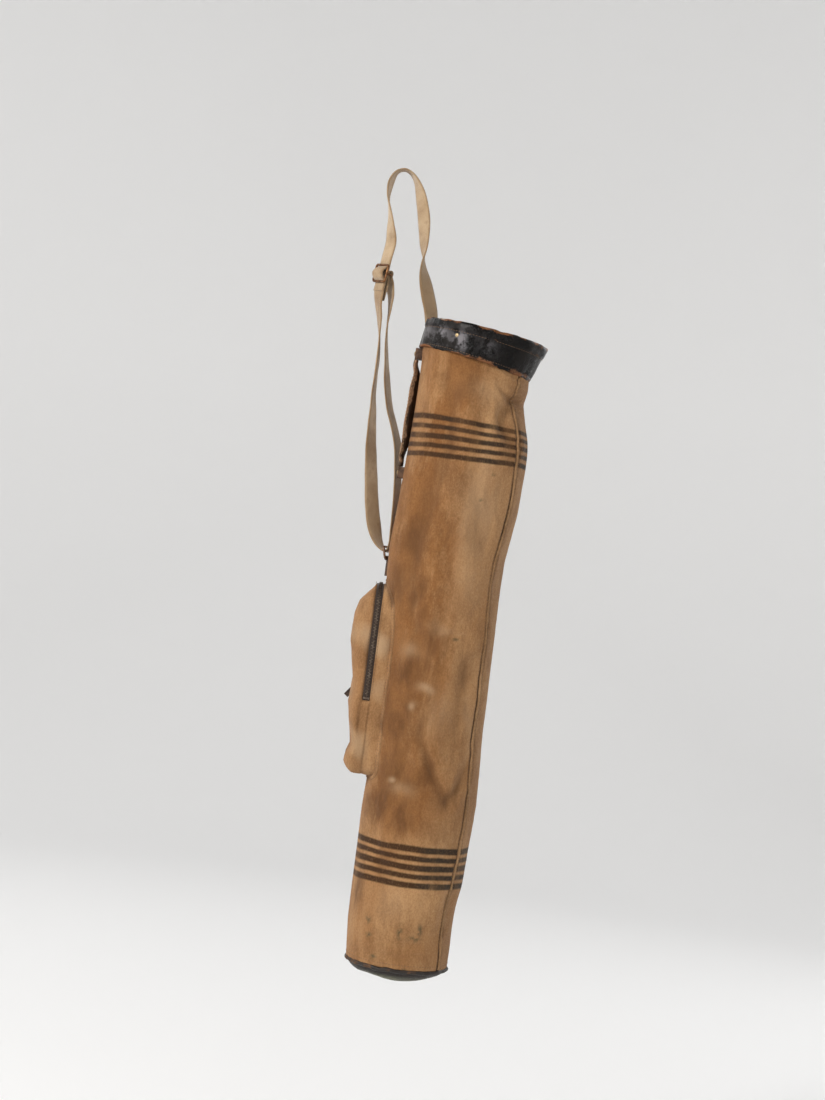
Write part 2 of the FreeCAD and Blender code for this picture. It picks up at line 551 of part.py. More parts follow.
def pocket():
    """A gusset that stands off the bag, the dished outer panel beyond the zip, and the flange sewn round it."""
    half, low, spring = "pocket_half", "pocket_low", "pocket_spring"
    thick = "canvas_thick"
    gusset = new_body("pocket_wall")
    drawing = sketch_on(gusset, "YZ_Plane", "wall_outline", "dims.pocket_edge")
    arch_outline(drawing, half, low, spring)
    arch_outline(drawing, f"{half} - {thick}", f"{low} + {thick}", spring)
    pad(gusset, drawing, "pocket_root - pocket_edge", "wall_pad")
    lower = sketch_on(gusset, "YZ_Plane", "lower_outline", "dims.pocket_lip")
    outer, inner = half, f"{half} - {thick}"
    top = "zip_end - 0.4"
    closed_outline(lower, [
        (f"0 - {outer}", low), (outer, low), (outer, top), (inner, top), (inner, f"{low} + {thick}"),
        (f"{thick} - {half}", f"{low} + {thick}"), (f"{thick} - {half}", top), (f"0 - {outer}", top),
    ])
    pad(gusset, lower, "pocket_edge - pocket_lip", "lower_pad")
    wall = boolean("Cut", "pocket_gusset", gusset, plug("wall_seat", TUBE_STATIONS, "0.1"))
    keep(wall, "pocket_gusset")

    front = new_body("pocket_front")
    taper = "pocket_taper"
    sections = []
    for name, raised, shrink in (("lip", "dims.pocket_lip", "0"), ("face", "dims.pocket_face", taper)):
        drawing = sketch_on(front, "YZ_Plane", f"front_{name}", raised)
        arch_outline(drawing, f"{half} - {shrink}", f"{low} + {shrink}", f"{spring} - {shrink}")
        sections.append(drawing)
    dish = front.newObject("PartDesign::AdditiveLoft", "front_dish")
    dish.Profile = sections[0]
    dish.Sections = [sections[1]]
    dish.Ruled = True
    hollow = []
    for name, raised, shrink in (("lip", "dims.pocket_lip", thick),
                                 ("face", "dims.pocket_face + dims.canvas_thick", f"{taper} + {thick}")):
        drawing = sketch_on(front, "YZ_Plane", f"hollow_{name}", raised)
        arch_outline(drawing, f"{half} - ( {shrink} )", f"{low} + {shrink}", f"{spring} - {taper} * "
                     + ("0" if name == "lip" else "1"))
        hollow.append(drawing)
    room = front.newObject("PartDesign::SubtractiveLoft", "front_room")
    room.Profile = hollow[0]
    room.Sections = [hollow[1]]
    room.Ruled = True
    front.Tip = room
    keep(front, "pocket_front")

    near, beyond = flange_block("flange_near"), flange_block("flange_beyond")
    beyond.setExpression("Placement.Base.x", "-dims.flange_thick")
    keep(boolean("Cut", "pocket_flange", near, beyond), "pocket_flange")


def flange_block(name):
    """The space outside the canvas under a border that runs round the pocket."""
    half, low, spring = "pocket_half", "pocket_low", "pocket_spring"
    border = new_body(f"{name}_border")
    drawing = sketch_on(border, "YZ_Plane", f"{name}_outline", "dims.pocket_edge")
    arch_outline(drawing, f"{half} + flange_wide", f"{low} - flange_wide", spring)
    arch_outline(drawing, f"{half} + 0.1", f"{low} - 0.1", spring)
    pad(border, drawing, "pocket_root - pocket_edge + flange_wide", f"{name}_pad")
    return boolean("Cut", name, border, plug(f"{name}_seat", TUBE_STATIONS, "0.1"))


def zip_spots(pitch, shift):
    """Points and headings, in (behind, above), evenly spaced along the arch of the zip."""
    half, spring = size("pocket_half"), size("pocket_spring")
    leg = spring - size("zip_end") - 7
    bend = math.pi * half
    count = int((2 * leg + bend - shift) / pitch)
    spots = []
    for i in range(count):
        travel = shift + i * pitch
        if travel < leg:
            spots.append((-half, spring - leg + travel, 0.0))
        elif travel < leg + bend:
            angle = (travel - leg) / half
            spots.append((-half * math.cos(angle), spring + half * math.sin(angle), angle))
        else:
            spots.append((half, spring - (travel - leg - bend), math.pi))
    return spots


def zip_chain():
    """Two tapes along the arch, each with its own row of metal teeth, and a stop at each end."""
    half, spring, low = "pocket_half", "pocket_spring", "zip_end"
    across, gap, thick = "zip_across", "tape_gap", "tape_thick"
    for label, start, length in (
            ("zip_tape_inner", f"dims.{across} + dims.{gap} / 2", f"pocket_edge - {across} - {gap} / 2 - 0.1"),
            ("zip_tape_outer", "dims.pocket_lip + 0.1", f"{across} - pocket_lip - {gap} / 2 - 0.1")):
        tape = new_body(label)
        drawing = sketch_on(tape, "YZ_Plane", f"{label}_outline", start)
        arch_outline(drawing, f"{half} - 0.4", low, spring)
        arch_outline(drawing, f"{half} - 0.4 - {thick}", f"{low} + 0.8", spring)
        pad(tape, drawing, length, f"{label}_pad")
        legs = sketch_on(tape, "YZ_Plane", f"{label}_gap", start)
        room = f"{half} - 0.4 - {thick}"
        closed_outline(legs, [(f"0 - ( {room} )", f"{low} - 1"), (room, f"{low} - 1"), (room, f"{low} + 2"),
                              (f"0 - ( {room} )", f"{low} + 2")])
        opening = tape.newObject("PartDesign::Pocket", f"{label}_opening")
        opening.Profile = legs
        opening.setExpression("Length", named(length))
        opening.Reversed = True
        tape.Tip = opening
        keep(tape, label)

    wide, tall, long = size("tooth_wide"), size("tooth_tall"), size("tooth_long")
    pitch = size("tooth_pitch")
    for label, shift, middle in (("zip_teeth_inner", 0.0, size(across) + 0.8),
                                 ("zip_teeth_outer", pitch / 2, size(across) - 0.8)):
        teeth = []
        for behind, above, heading in zip_spots(pitch, shift):
            tooth = Part.makeBox(wide, tall, long, V(-wide / 2, -0.3, -long / 2))
            turned = FreeCAD.Rotation(V(1, 0, 0), 180 - math.degrees(heading))
            tooth.Placement = FreeCAD.Placement(V(middle, behind, above), turned)
            teeth.append(tooth)
        shaped(label, Part.makeCompound(teeth))

    stops = []
    for side in (-1, 1):
        edge = size(f"{half}") - 0.3
        block = Part.makeBox(8.6, 2.2, 3.2, V(size(across) - 4.3, min(side * edge, side * (edge + 2.2)), size(low) + 1.6))
        stops.append(block.makeFillet(0.7, block.Edges))
    shaped("zip_stops", Part.makeCompound(stops))


def zip_runner():
    """The slider on the zip's back leg, and its pull: a link hinged on the slider's bridge and a leather tab."""
    across, up = size("zip_across"), size("runner_up")
    plate_back = size("pocket_half") + size("tooth_tall") + 0.1
    wide, long, thick = size("runner_wide"), size("runner_long"), size("runner_thick")
    plate = Part.makeBox(wide, thick, long, V(across - wide / 2, plate_back, up - long / 2))
    plate = plate.makeFillet(2.2, [edge for edge in plate.Edges if abs(edge.tangentAt(0).y) > 0.9])
    cheek = 1.2
    cheeks = [Part.makeBox(cheek, plate_back - size("pocket_half"), long - 5,
                           V(across + side * 3.6 - cheek / 2, size("pocket_half") + 0.05, up - long / 2 + 2.5))
              for side in (-1, 1)]
    pin_back = plate_back + thick + 2.2
    posts = [Part.makeBox(1.1, 3.2, 3, V(across + side * 2.95 - 0.55, plate_back + thick - 0.2, up - 1.5))
             for side in (-1, 1)]
    pin = Part.makeCylinder(size("pin_radius"), 5.2, V(across - 2.6, pin_back, up), V(1, 0, 0))
    shaped("zip_slider", plate.fuse(cheeks + posts + [pin]).removeSplitter())

    bore = size("pin_radius") + size("pin_play")
    eye = Part.makeCylinder(bore + 0.9, 4.2, V(across - 2.1, pin_back, up), V(1, 0, 0))
    tongue_end = V(across - 9.5, pin_back + 1.4, up - 13)
    tongue_start = V(across, pin_back + 1.0, up - 1.5)
    tongue = bar_between(tongue_start, tongue_end, 3.6, 1.2)
    hole = Part.makeCylinder(bore, 8, V(across - 4, pin_back, up), V(1, 0, 0))
    shaped("zip_pull_link", eye.fuse(tongue).cut(hole).removeSplitter())
    outward = V(0, 2.05, 0)
    tab = bar_between(tongue_end + outward + V(3, 0, 6), V(across - 29, pin_back + 3.4, up - 36), 7, 2.2)
    shaped("zip_pull_tab", tab)


def bar_between(start, end, wide, thick):
    """A flat bar from one point to another, thick along Y."""
    along = (end - start).normalize()
    length = (end - start).Length
    block = Part.makeBox(wide, thick, length, V(-wide / 2, -thick / 2, 0))
    block.Placement = FreeCAD.Placement(start, FreeCAD.Rotation(V(), V(0, 1, 0), along, "ZYX"))
    return block


def check_and_write():
    """Stops on any failed object or bad shape, then writes one STEP file per piece."""
    doc.recompute()
    for thing in doc.Objects:
        if "Invalid" in thing.State or "Error" in thing.State:
            raise RuntimeError(f"{thing.Name} failed: {thing.State}")
    os.makedirs("parts", exist_ok=True)
    for piece in parts:
        shape = piece.Shape
        if shape.isNull() or not shape.isValid() or shape.Volume < 0.1:
            raise RuntimeError(f"{piece.Label} has no valid solid")
        shape.exportStep(f"parts/{piece.Label}.step")
        print(f"{piece.Label:18s} solids {len(shape.Solids):3d}  volume {shape.Volume / 1000:9.2f} cm3")


canvas_panels()
welts()
collar()
foot()
stay()
strap()
ring()
anchor()
handle()
pocket()
zip_chain()
zip_runner()
check_and_write()
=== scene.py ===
import math

import bpy
import numpy as np
from mathutils import Matrix, Vector


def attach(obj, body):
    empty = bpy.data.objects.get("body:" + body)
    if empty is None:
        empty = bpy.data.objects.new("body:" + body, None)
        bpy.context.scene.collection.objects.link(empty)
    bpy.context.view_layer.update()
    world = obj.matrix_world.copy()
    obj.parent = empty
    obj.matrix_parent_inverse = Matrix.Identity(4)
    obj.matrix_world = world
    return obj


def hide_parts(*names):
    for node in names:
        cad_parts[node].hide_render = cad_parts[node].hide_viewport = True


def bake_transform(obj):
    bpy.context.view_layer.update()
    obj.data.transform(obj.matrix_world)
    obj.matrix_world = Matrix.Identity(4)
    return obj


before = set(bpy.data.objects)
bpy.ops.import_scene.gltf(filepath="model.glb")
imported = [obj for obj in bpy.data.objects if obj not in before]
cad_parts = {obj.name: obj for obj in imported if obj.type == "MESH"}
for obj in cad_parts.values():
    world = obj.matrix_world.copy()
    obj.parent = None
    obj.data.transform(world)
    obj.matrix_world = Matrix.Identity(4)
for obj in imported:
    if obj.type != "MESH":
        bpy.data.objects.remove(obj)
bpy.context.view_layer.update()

# Sizes below are millimetres in the bag's own layout: +Z up the bag from the middle of its foot, -Y its front, and
# -X the side with the strap. The frame's origin is the hang point, so row() moves them there and into metres.
HANG = np.array([-124.5, 56.0, 1060.5])
RNG = np.random.default_rng(11)


def row(points):
    """Layout millimetres to row metres."""
    return (np.asarray(points, float) - HANG) / 1000.0


def smoothstep(x, low, high):
    t = np.clip((x - low) / (high - low), 0, 1)
    return t * t * (3 - 2 * t)


class Ripple:
    """A smooth field of seeded waves in space, about -1 to 1: folds of one size."""

    def __init__(self, seed, wavelength, stretch=(1, 1, 1), waves=26):
        rng = np.random.default_rng(seed)
        ways = rng.normal(size=(waves, 3))
        ways /= np.linalg.norm(ways, axis=1, keepdims=True)
        lengths = wavelength * rng.uniform(0.7, 1.6, size=(waves, 1))
        self.ways = ways / lengths * 2 * math.pi / np.asarray(stretch, float)
        self.shifts = rng.uniform(0, 2 * math.pi, waves)
        self.scale = 1.5 / math.sqrt(waves)

    def at(self, points):
        shape = points.shape[:-1]
        flat = points.reshape(-1, 3)
        total = np.zeros(len(flat))
        for way, shift in zip(self.ways, self.shifts):
            total += np.sin(flat @ way + shift)
        return (total * self.scale).reshape(shape)


# --- meshes -------------------------------------------------------------------------------------------------------

def mesh_object(name, verts, faces, uv=None, masks=None, smooth=True):
    """A mesh from layout points. uv is per vertex; masks are per-vertex numbers that the materials read."""
    mesh = bpy.data.meshes.new(name)
    mesh.from_pydata(row(verts).tolist(), [], [list(map(int, face)) for face in faces])
    if uv is not None:
        layer = mesh.uv_layers.new(name="UVMap")
        loops = np.empty(len(mesh.loops), np.int32)
        mesh.loops.foreach_get("vertex_index", loops)
        layer.data.foreach_set("uv", np.asarray(uv, np.float32)[loops].ravel())
    for key, values in (masks or {}).items():
        field = mesh.attributes.new(key, "FLOAT", "POINT")
        field.data.foreach_set("value", np.asarray(values, np.float32).ravel())
    mesh.validate()
    if smooth:
        mesh.polygons.foreach_set("use_smooth", np.ones(len(mesh.polygons), bool))
    mesh.update()
    thing = bpy.data.objects.new(name, mesh)
    bpy.context.collection.objects.link(thing)
    return thing


def grid_faces(rows, columns, wrap=False, flip=False):
    """Quads between rows of points; wrap joins each row's ends."""
    faces = []
    last = columns if wrap else columns - 1
    for i in range(rows - 1):
        for j in range(last):
            k = (j + 1) % columns
            quad = (i * columns + j, i * columns + k, (i + 1) * columns + k, (i + 1) * columns + j)
            faces.append(quad[::-1] if flip else quad)
    return faces


def catmull(points, per_span=8):
    """A smooth curve through rows of numbers, with centripetal spacing on the first three."""
    p = np.asarray(points, float)
    p = np.vstack([2 * p[0] - p[1], p, 2 * p[-1] - p[-2]])
    out = []
    for i in range(1, len(p) - 2):
        knots = [0.0]
        for a, b in zip(p[i - 1:i + 2], p[i:i + 3]):
            knots.append(knots[-1] + max(np.linalg.norm((b - a)[:3]), 1e-3) ** 0.5)
        t0, t1, t2, t3 = knots
        t = np.linspace(t1, t2, per_span, endpoint=False)[:, None]
        a1 = (t1 - t) / (t1 - t0) * p[i - 1] + (t - t0) / (t1 - t0) * p[i]
        a2 = (t2 - t) / (t2 - t1) * p[i] + (t - t1) / (t2 - t1) * p[i + 1]
        a3 = (t3 - t) / (t3 - t2) * p[i + 1] + (t - t2) / (t3 - t2) * p[i + 2]
        b1 = (t2 - t) / (t2 - t0) * a1 + (t - t0) / (t2 - t0) * a2
        b2 = (t3 - t) / (t3 - t1) * a2 + (t - t1) / (t3 - t1) * a3
        out.append((t2 - t) / (t2 - t1) * b1 + (t - t1) / (t2 - t1) * b2)
    out.append(p[-2][None, :])
    return np.vstack(out)


def resample(curve, step):
    """Points an even step apart along a curve's first three columns."""
    run = np.concatenate([[0], np.cumsum(np.linalg.norm(np.diff(curve[:, :3], axis=0), axis=1))])
    count = max(int(run[-1] / step), 2)
    at = np.linspace(0, run[-1], count + 1)
    return np.stack([np.interp(at, run, curve[:, c]) for c in range(curve.shape[1])], axis=1), at


def unit(v):
    return v / np.maximum(np.linalg.norm(v, axis=-1, keepdims=True), 1e-9)


def band_frames(path):
    """Along, width and face directions of a flat band whose fourth column turns its width from +X."""
    along = unit(np.gradient(path[:, :3], axis=0))
    turn = np.radians(path[:, 3])
    width = np.stack([np.cos(turn), np.sin(turn), np.zeros(len(turn))], axis=1)
    width = unit(width - along * (width * along).sum(1, keepdims=True))
    return along, width, np.cross(along, width)


def strap_section(wide, thick, selvedge=0.18, count=9):
    """Half the points of a webbing's section: flat faces, rounded edges a little thicker than the middle."""
    across = np.linspace(-1, 1, count)
    swell = 1 + selvedge * smoothstep(np.abs(across), 0.72, 0.9) - 0.62 * smoothstep(np.abs(across), 0.93, 1.0)
    top = [(a * wide / 2, thick / 2 * s) for a, s in zip(across, swell)]
    low = [(a * wide / 2, -thick / 2 * s) for a, s in zip(across[::-1], swell[::-1])]
    return np.array(top + low)


def band(name, stations, section, step=2.0, waver=0.35, seed=1, scale_ends=None):
    """A flat band swept through stations with slow wavers of its edges, closed at both ends."""
    path, run = resample(catmull(stations), step)
    along, width, face = band_frames(path)
    wave = Ripple(seed, 42)
    off = wave.at(path[:, :3])[:, None] * waver
    twist = wave.at(path[:, :3] + 300)[:, None] * 0.02
    width, face = unit(width + face * twist), unit(face - width * twist)
    centre = path[:, :3] + face * off
    n = len(section)
    shrink = np.ones(len(path)) if scale_ends is None else scale_ends(run)
    cup = Ripple(seed + 5, 60).at(path[:, :3])
    bend = (section[:, 0] / np.abs(section[:, 0]).max()) ** 2
    verts = (centre[:, None, :] + width[:, None, :] * (section[None, :, 0:1] * shrink[:, None, None])
             + face[:, None, :] * (section[None, :, 1:2] * shrink[:, None, None]
                                   + (bend[None, :] * cup[:, None] * waver * 0.8)[:, :, None]))
    rows_n = len(path)
    faces = grid_faces(rows_n, n, wrap=True, flip=True)
    half = n // 2
    for i, flip in ((0, False), (rows_n - 1, True)):
        for j in range(half - 1):
            quad = [i * n + j, i * n + j + 1, i * n + n - 2 - j, i * n + n - 1 - j]
            faces.append(quad[::-1] if flip else quad)
    uv = np.stack([np.tile(section[:, 0], rows_n) / 1000, np.repeat(run, n) / 1000], axis=1)
    edge = np.tile(np.abs(section[:, 0]) / np.abs(section[:, 0]).max(), rows_n)
    thing = mesh_object(name, verts.reshape(-1, 3), faces, uv, {"edge": edge})
    return thing, path, (along, width, face)


def tube(name, path, radius, sides=10, closed=False, uv_scale=1.0, masks=None):
    """A round cord along points; radius is a number or one per point."""
    path = np.asarray(path, float)
    if closed:
        along = unit(np.roll(path, -1, 0) - np.roll(path, 1, 0))
    else:
        along = unit(np.gradient(path, axis=0))
    up = np.tile([0.0, 0.0, 1.0], (len(path), 1))
    up[np.abs(along[:, 2]) > 0.8] = [0.3, 1.0, 0.0]
    side = unit(np.cross(along, up))
    up = np.cross(side, along)
    angle = np.linspace(0, 2 * math.pi, sides, endpoint=False)
    r = np.broadcast_to(np.asarray(radius, float), (len(path),))[:, None, None]
    verts = path[:, None] + r * (np.cos(angle)[None, :, None] * side[:, None] + np.sin(angle)[None, :, None] * up[:, None])
    rows_n = len(path)
    faces = grid_faces(rows_n, sides, wrap=True)
    if closed:
        top = (rows_n - 1) * sides
        faces += [(top + j, top + (j + 1) % sides, (j + 1) % sides, j) for j in range(sides)]
    else:
        faces.append(list(range(sides)))
        faces.append(list(range(rows_n * sides - 1, (rows_n - 1) * sides - 1, -1)))
    run = np.concatenate([[0], np.cumsum(np.linalg.norm(np.diff(path, axis=0), axis=1))])
    uv = np.stack([np.tile(angle * 2, rows_n) / 1000, np.repeat(run, sides) / 1000 * uv_scale], axis=1)
    spread = {key: np.repeat(values, sides) for key, values in (masks or {}).items()}
    return mesh_object(name, verts.reshape(-1, 3), faces, uv, spread)


def stitches(name, rows, long=2.6, gap=1.5, radius=0.34, sink=0.12):
    """Thread stitches along rows of (points, outward directions), each a small rounded bead laid on the surface."""
    ring, caps = 6, (0.0, 0.16, 0.5, 0.84, 1.0)
    girth = (0.25, 0.85, 1.0, 0.85, 0.25)
    verts, faces = [], []
    for points, outward in rows:
        curve = np.hstack([np.asarray(points, float), np.asarray(outward, float)])
        fine, run = resample(curve, 0.5)
        starts = np.arange(gap / 2, run[-1] - long, long + gap)
        for start in starts:
            at = start + np.array(caps) * long
            spots = np.stack([np.interp(at, run, fine[:, c]) for c in range(6)], axis=1)
            out = unit(spots[:, 3:])
            along = unit(spots[-1, :3] - spots[0, :3])
            side = unit(np.cross(out, along))
            arch = np.array([-0.3, 0.15, 0.3, 0.15, -0.3]) * radius - sink
            base = len(verts) * 1
            for k in range(len(caps)):
                for j in range(ring):
                    a = 2 * math.pi * j / ring
                    verts.append(spots[k, :3] + out[k] * (arch[k] + radius * girth[k] * (0.35 + 0.8 * math.sin(a)))
                                 + side[k] * radius * girth[k] * math.cos(a))
            for k in range(len(caps) - 1):
                for j in range(ring):
                    n = (j + 1) % ring
                    faces.append((base + k * ring + j, base + k * ring + n,
                                  base + (k + 1) * ring + n, base + (k + 1) * ring + j))
            faces.append([base + j for j in range(ring)][::-1])
            faces.append([base + (len(caps) - 1) * ring + j for j in range(ring)])
    return mesh_object(name, np.array(verts), faces)


# --- the bag's own surface ----------------------------------------------------------------------------------------

# Left and right edges of the canvas as seen from the front, as (above, across), and its half depth.
LEFT = [(0, -67.9), (12, -69), (27, -70.2), (54, -72), (95, -72.4), (149, -72.2), (202, -72.3), (243, -70.8),
        (300, -71), (390, -72), (450, -73.5), (478, -75.4), (514, -78.6), (545, -79.5), (559, -79.2), (588, -76.8),
        (617, -74.6), (647, -73.2), (682, -71.6), (735, -68.6), (788, -68.0), (815, -69.3)]
RIGHT = [(0, 67.3), (15, 67.8), (58, 67.8), (86, 69.6), (113, 73.6), (167, 76.6), (222, 79.6), (262, 78),
         (289, 76.8), (329, 75.8), (390, 75), (450, 75), (514, 74.2), (549, 75.2), (579, 80), (615, 84.5),
         (647, 86.2), (676, 87.6), (700, 87.0), (715, 85.4), (748, 78.4), (768, 73.6), (780, 75), (792, 77.6), (815, 77)]
DEPTH = [(0, 68), (200, 73), (390, 73), (545, 74.4), (650, 75.4), (750, 72.4), (815, 72.6)]
FOOT, BRIM = 2.4, 813.0
BRIM_TILT = math.tan(math.radians(11))

_z = np.linspace(-20, 840, 1721)


def _smoothed(pairs, spread_mm):
    heights, values = zip(*pairs)
    raw = np.interp(_z, heights, values)
    reach = np.arange(-80, 81) * 0.5
    kernel = np.exp(-0.5 * (reach / spread_mm) ** 2)
    padded = np.pad(raw, 80, mode="edge")
    return np.convolve(padded, kernel / kernel.sum(), mode="valid")


_left, _right, _depth = _smoothed(LEFT, 5), _smoothed(RIGHT, 4), _smoothed(DEPTH, 16)

# Folds and dents in the front, as ((across, above) points, width, depth inward).
FOLDS = [
    ([(-40, 786), (-26, 756), (-14, 724), (-13, 690)], 11, 3.8),
    ([(-15, 700), (-24, 660), (-38, 612), (-47, 560), (-51, 518), (-44, 486)], 15, 4.8),
    ([(60, 770), (51, 750), (50, 728), (62, 704)], 8, 6.0),
    ([(74, 773), (58, 768), (38, 784)], 5, 3.2),
    ([(68, 793), (52, 797), (28, 802)], 4, -2.0),
    ([(-62, 790), (-40, 796), (-10, 792)], 5, 1.6),
    ([(-30, 500), (-39, 470), (-25, 440), (-20, 402), (-28, 368)], 10, 3.2),
    ([(2, 470), (-4, 440), (-8, 405), (-16, 380)], 6, 2.2),
    ([(33, 432), (39, 392), (42, 352), (38, 300)], 12, 3.8),
    ([(-8, 326), (2, 290), (18, 256), (39, 226)], 7, 4.2),
    ([(60, 280), (49, 246), (39, 226)], 7, 3.4),
    ([(-12, 318), (-20, 280), (-22, 240)], 9, 2.4),
    ([(-48, 362), (-30, 356), (-10, 362)], 5, 1.8),
    ([(-32, 258), (-10, 240), (12, 247)], 8, 2.0),
    ([(-56, 168), (-40, 130), (-44, 70)], 14, 2.0),
    ([(61, 136), (55, 90), (59, 40)], 9, 2.4),
    ([(-24, 42), (8, 34), (42, 46)], 12, 1.8),
    ([(-44, 22), (-10, 16), (26, 20)], 6, 1.2),
    ([(20, 704), (23, 640), (35, 580), (30, 520)], 16, 2.8),
    ([(6, 610), (0, 560), (8, 510)], 11, 1.8),
]
BACK_FOLDS = [
    ([(-30, 790), (-8, 740), (20, 690)], 13, 3.4),
    ([(52, 780), (36, 740), (44, 690)], 10, 3.2),
    ([(10, 620), (-20, 560), (-14, 500), (12, 450)], 15, 3.0),
    ([(48, 560), (30, 500), (36, 430)], 12, 2.2),
    ([(-40, 420), (-20, 370), (10, 330)], 13, 2.6),
    ([(30, 320), (44, 270), (28, 220)], 11, 2.8),
    ([(-34, 230), (-6, 200), (24, 186)], 14, 2.0),
    ([(-44, 120), (-20, 90), (14, 84)], 13, 1.6),
]


def near_line(x, z, line):
    """Distance in the front view to a broken line, and how far along it (0 to 1) the nearest point is."""
    best = np.full(x.shape, 1e9)
    share = np.zeros(x.shape)
    line = np.asarray(line, float)
    if len(line) > 2:
        line = catmull(np.hstack([line, np.zeros((len(line), 1))]), 6)[:, :2]
    count = len(line) - 1
    for i, (a, b) in enumerate(zip(line, line[1:])):
        d = b - a
        t = np.clip(((x - a[0]) * d[0] + (z - a[1]) * d[1]) / (d @ d), 0, 1)
        away = np.hypot(x - a[0] - t * d[0], z - a[1] - t * d[1])
        closer = away < best
        best = np.where(closer, away, best)
        share = np.where(closer, (i + t) / count, share)
    return best, share


def fold_depth(x, z, front):
    """How far the canvas is pressed in by its folds, with a soft shoulder on each side."""
    total = np.zeros(x.shape)
    for folds, side in ((FOLDS, front), (BACK_FOLDS, 1 - front)):
        for line, wide, deep in folds:
            away, share = near_line(x, z, line)
            fade = np.sin(np.pi * np.clip(share, 0.06, 0.94)) ** 0.6
            form = np.exp(-(away / wide) ** 2) - 0.35 * np.exp(-((away - 1.7 * wide) / wide) ** 2)
            total += side * deep * fade * form
    return total


SWELL = Ripple(3, 120, (1, 1, 2.2))
CRUMPLE = Ripple(7, 46, (1, 1, 1.5))
CREASE = Ripple(19, 24, (1, 1, 1.3))
FINE = Ripple(23, 9, (1, 1, 1))


def skin(angle, z, off=0.0):
    """A point on the canvas's outside at an angle from +X and a height, with its outward direction and fold depth."""
    angle, z = np.broadcast_arrays(np.asarray(angle, float), np.asarray(z, float))
    left, right = np.interp(z, _z, _left), np.interp(z, _z, _right)
    deep = np.interp(z, _z, _depth)
    centre, half = (left + right) / 2, (right - left) / 2
    c, s = np.cos(angle), np.sin(angle)
    x, y = centre + half * c, deep * s
    outward = unit(np.stack([c / half, s / deep, np.zeros_like(c)], axis=-1))
    spot = np.stack([x, y, z], axis=-1)
    calm = smoothstep(z, 2, 26) * (1 - 0.75 * smoothstep(z, 790, 812))
    stiff = 0.45 + 0.55 * smoothstep(c, -0.99, -0.72)
    pressed = fold_depth(x, z, smoothstep(-s, -0.1, 0.3)) * calm
    ridge = 1 - np.abs(CREASE.at(spot)) * 2
    rough = (SWELL.at(spot) * 1.1 + CRUMPLE.at(spot) * 0.75 + ridge * 0.16 + FINE.at(spot) * 0.07)
    traced = 1 - 0.75 * smoothstep(np.abs(c), 0.86, 0.99)
    lift = rough * calm * stiff * traced - pressed * stiff
    lift = np.clip(lift, -7.0, 2.6)
    lean = -(x - 2.0) * BRIM_TILT * smoothstep(z, 680, 812)
    spot = spot + outward * (lift + off)[..., None]
    spot[..., 2] += lean
    return spot, outward, pressed


GORE_HALF = math.radians(36)
SEAM_HALF = math.radians(0.9)

# Brown stains in the front view: (across, above, half width, half height, strength). Those along the long fold on the
# upper left, from about (-13, 702) down to (-48, 560), are partly stain and partly painted shade in that fold.
STAINS = [
    (-38, 775, 16, 30, .40), (-12, 758, 16, 30, .55), (-13, 702, 9, 34, .75), (-26, 665, 16, 34, .55),
    (-36, 622, 18, 44, .62), (-48, 560, 18, 40, .72), (-62, 500, 15, 44, .75), (-38, 500, 20, 30, .80),
    (-22, 465, 20, 26, .60), (-6, 438, 20, 44, .72), (-32, 388, 28, 34, .88), (-12, 400, 18, 30, .75),
    (-54, 352, 18, 70, .60), (-34, 325, 26, 54, .78), (-6, 330, 18, 60, .58), (37, 398, 9, 46, .62),
    (-36, 262, 34, 50, .80), (-48, 212, 26, 30, .92), (-20, 204, 32, 30, .78), (-60, 200, 12, 34, .75),
    (6, 258, 22, 40, .60), (30, 236, 24, 24, .55), (51, 250, 9, 40, .6), (-61, 92, 9, 34, .85),
    (60, 215, 10, 80, .45), (14, 300, 50, 60, .42), (-4, 560, 34, 60, .20), (60, 30, 18, 30, .42),
    (-50, 26, 26, 18, .40), (10, 18, 60, 12, .36), (64, 700, 10, 36, .40), (20, 132, 60, 26, .34),
    (-64, 640, 8, 90, .30), (62, 480, 10, 120, .32), (20, 190, 50, 24, .42), (-20, 800, 60, 8, .35),
]
# Paler rubbed places: the same columns.
RUBBED = [(30, 620, 26, 60, .7), (28, 540, 22, 60, .5), (-30, 420, 14, 12, .55), (-8, 366, 12, 5, .8),
          (-24, 345, 5, 5, .8), (14, 345, 12, 30, .5), (-40, 244, 5, 4, .9), (-24, 236, 14, 8, .55),
          (50, 330, 8, 60, .45), (-20, 90, 30, 24, .3), (30, 770, 26, 20, .35), (6, 452, 20, 6, .4)]
# Small grey-green spots.
SPOTS = [(-45, 62, 3, 5), (-42, 41, 3.4, 3.4), (-33, 14, 4, 3), (18, 44, 7, 3.5), (24, 56, 3, 8), (-2, 52, 3, 9),
         (10, 2, 3, 3), (36, 150, 4, 3), (44, 660, 2.4, 1.8), (32, 625, 2.2, 1.8), (22, 440, 4, 1.6)]


def blot(x, z, marks):
    total = np.zeros(x.shape)
    for mark in marks:
        strength = mark[4] if len(mark) > 4 else 1.0
        near = ((x - mark[0]) / mark[2]) ** 2 + ((z - mark[1]) / mark[3]) ** 2
        total = np.maximum(total, strength * np.exp(-near * 0.9))
    return total


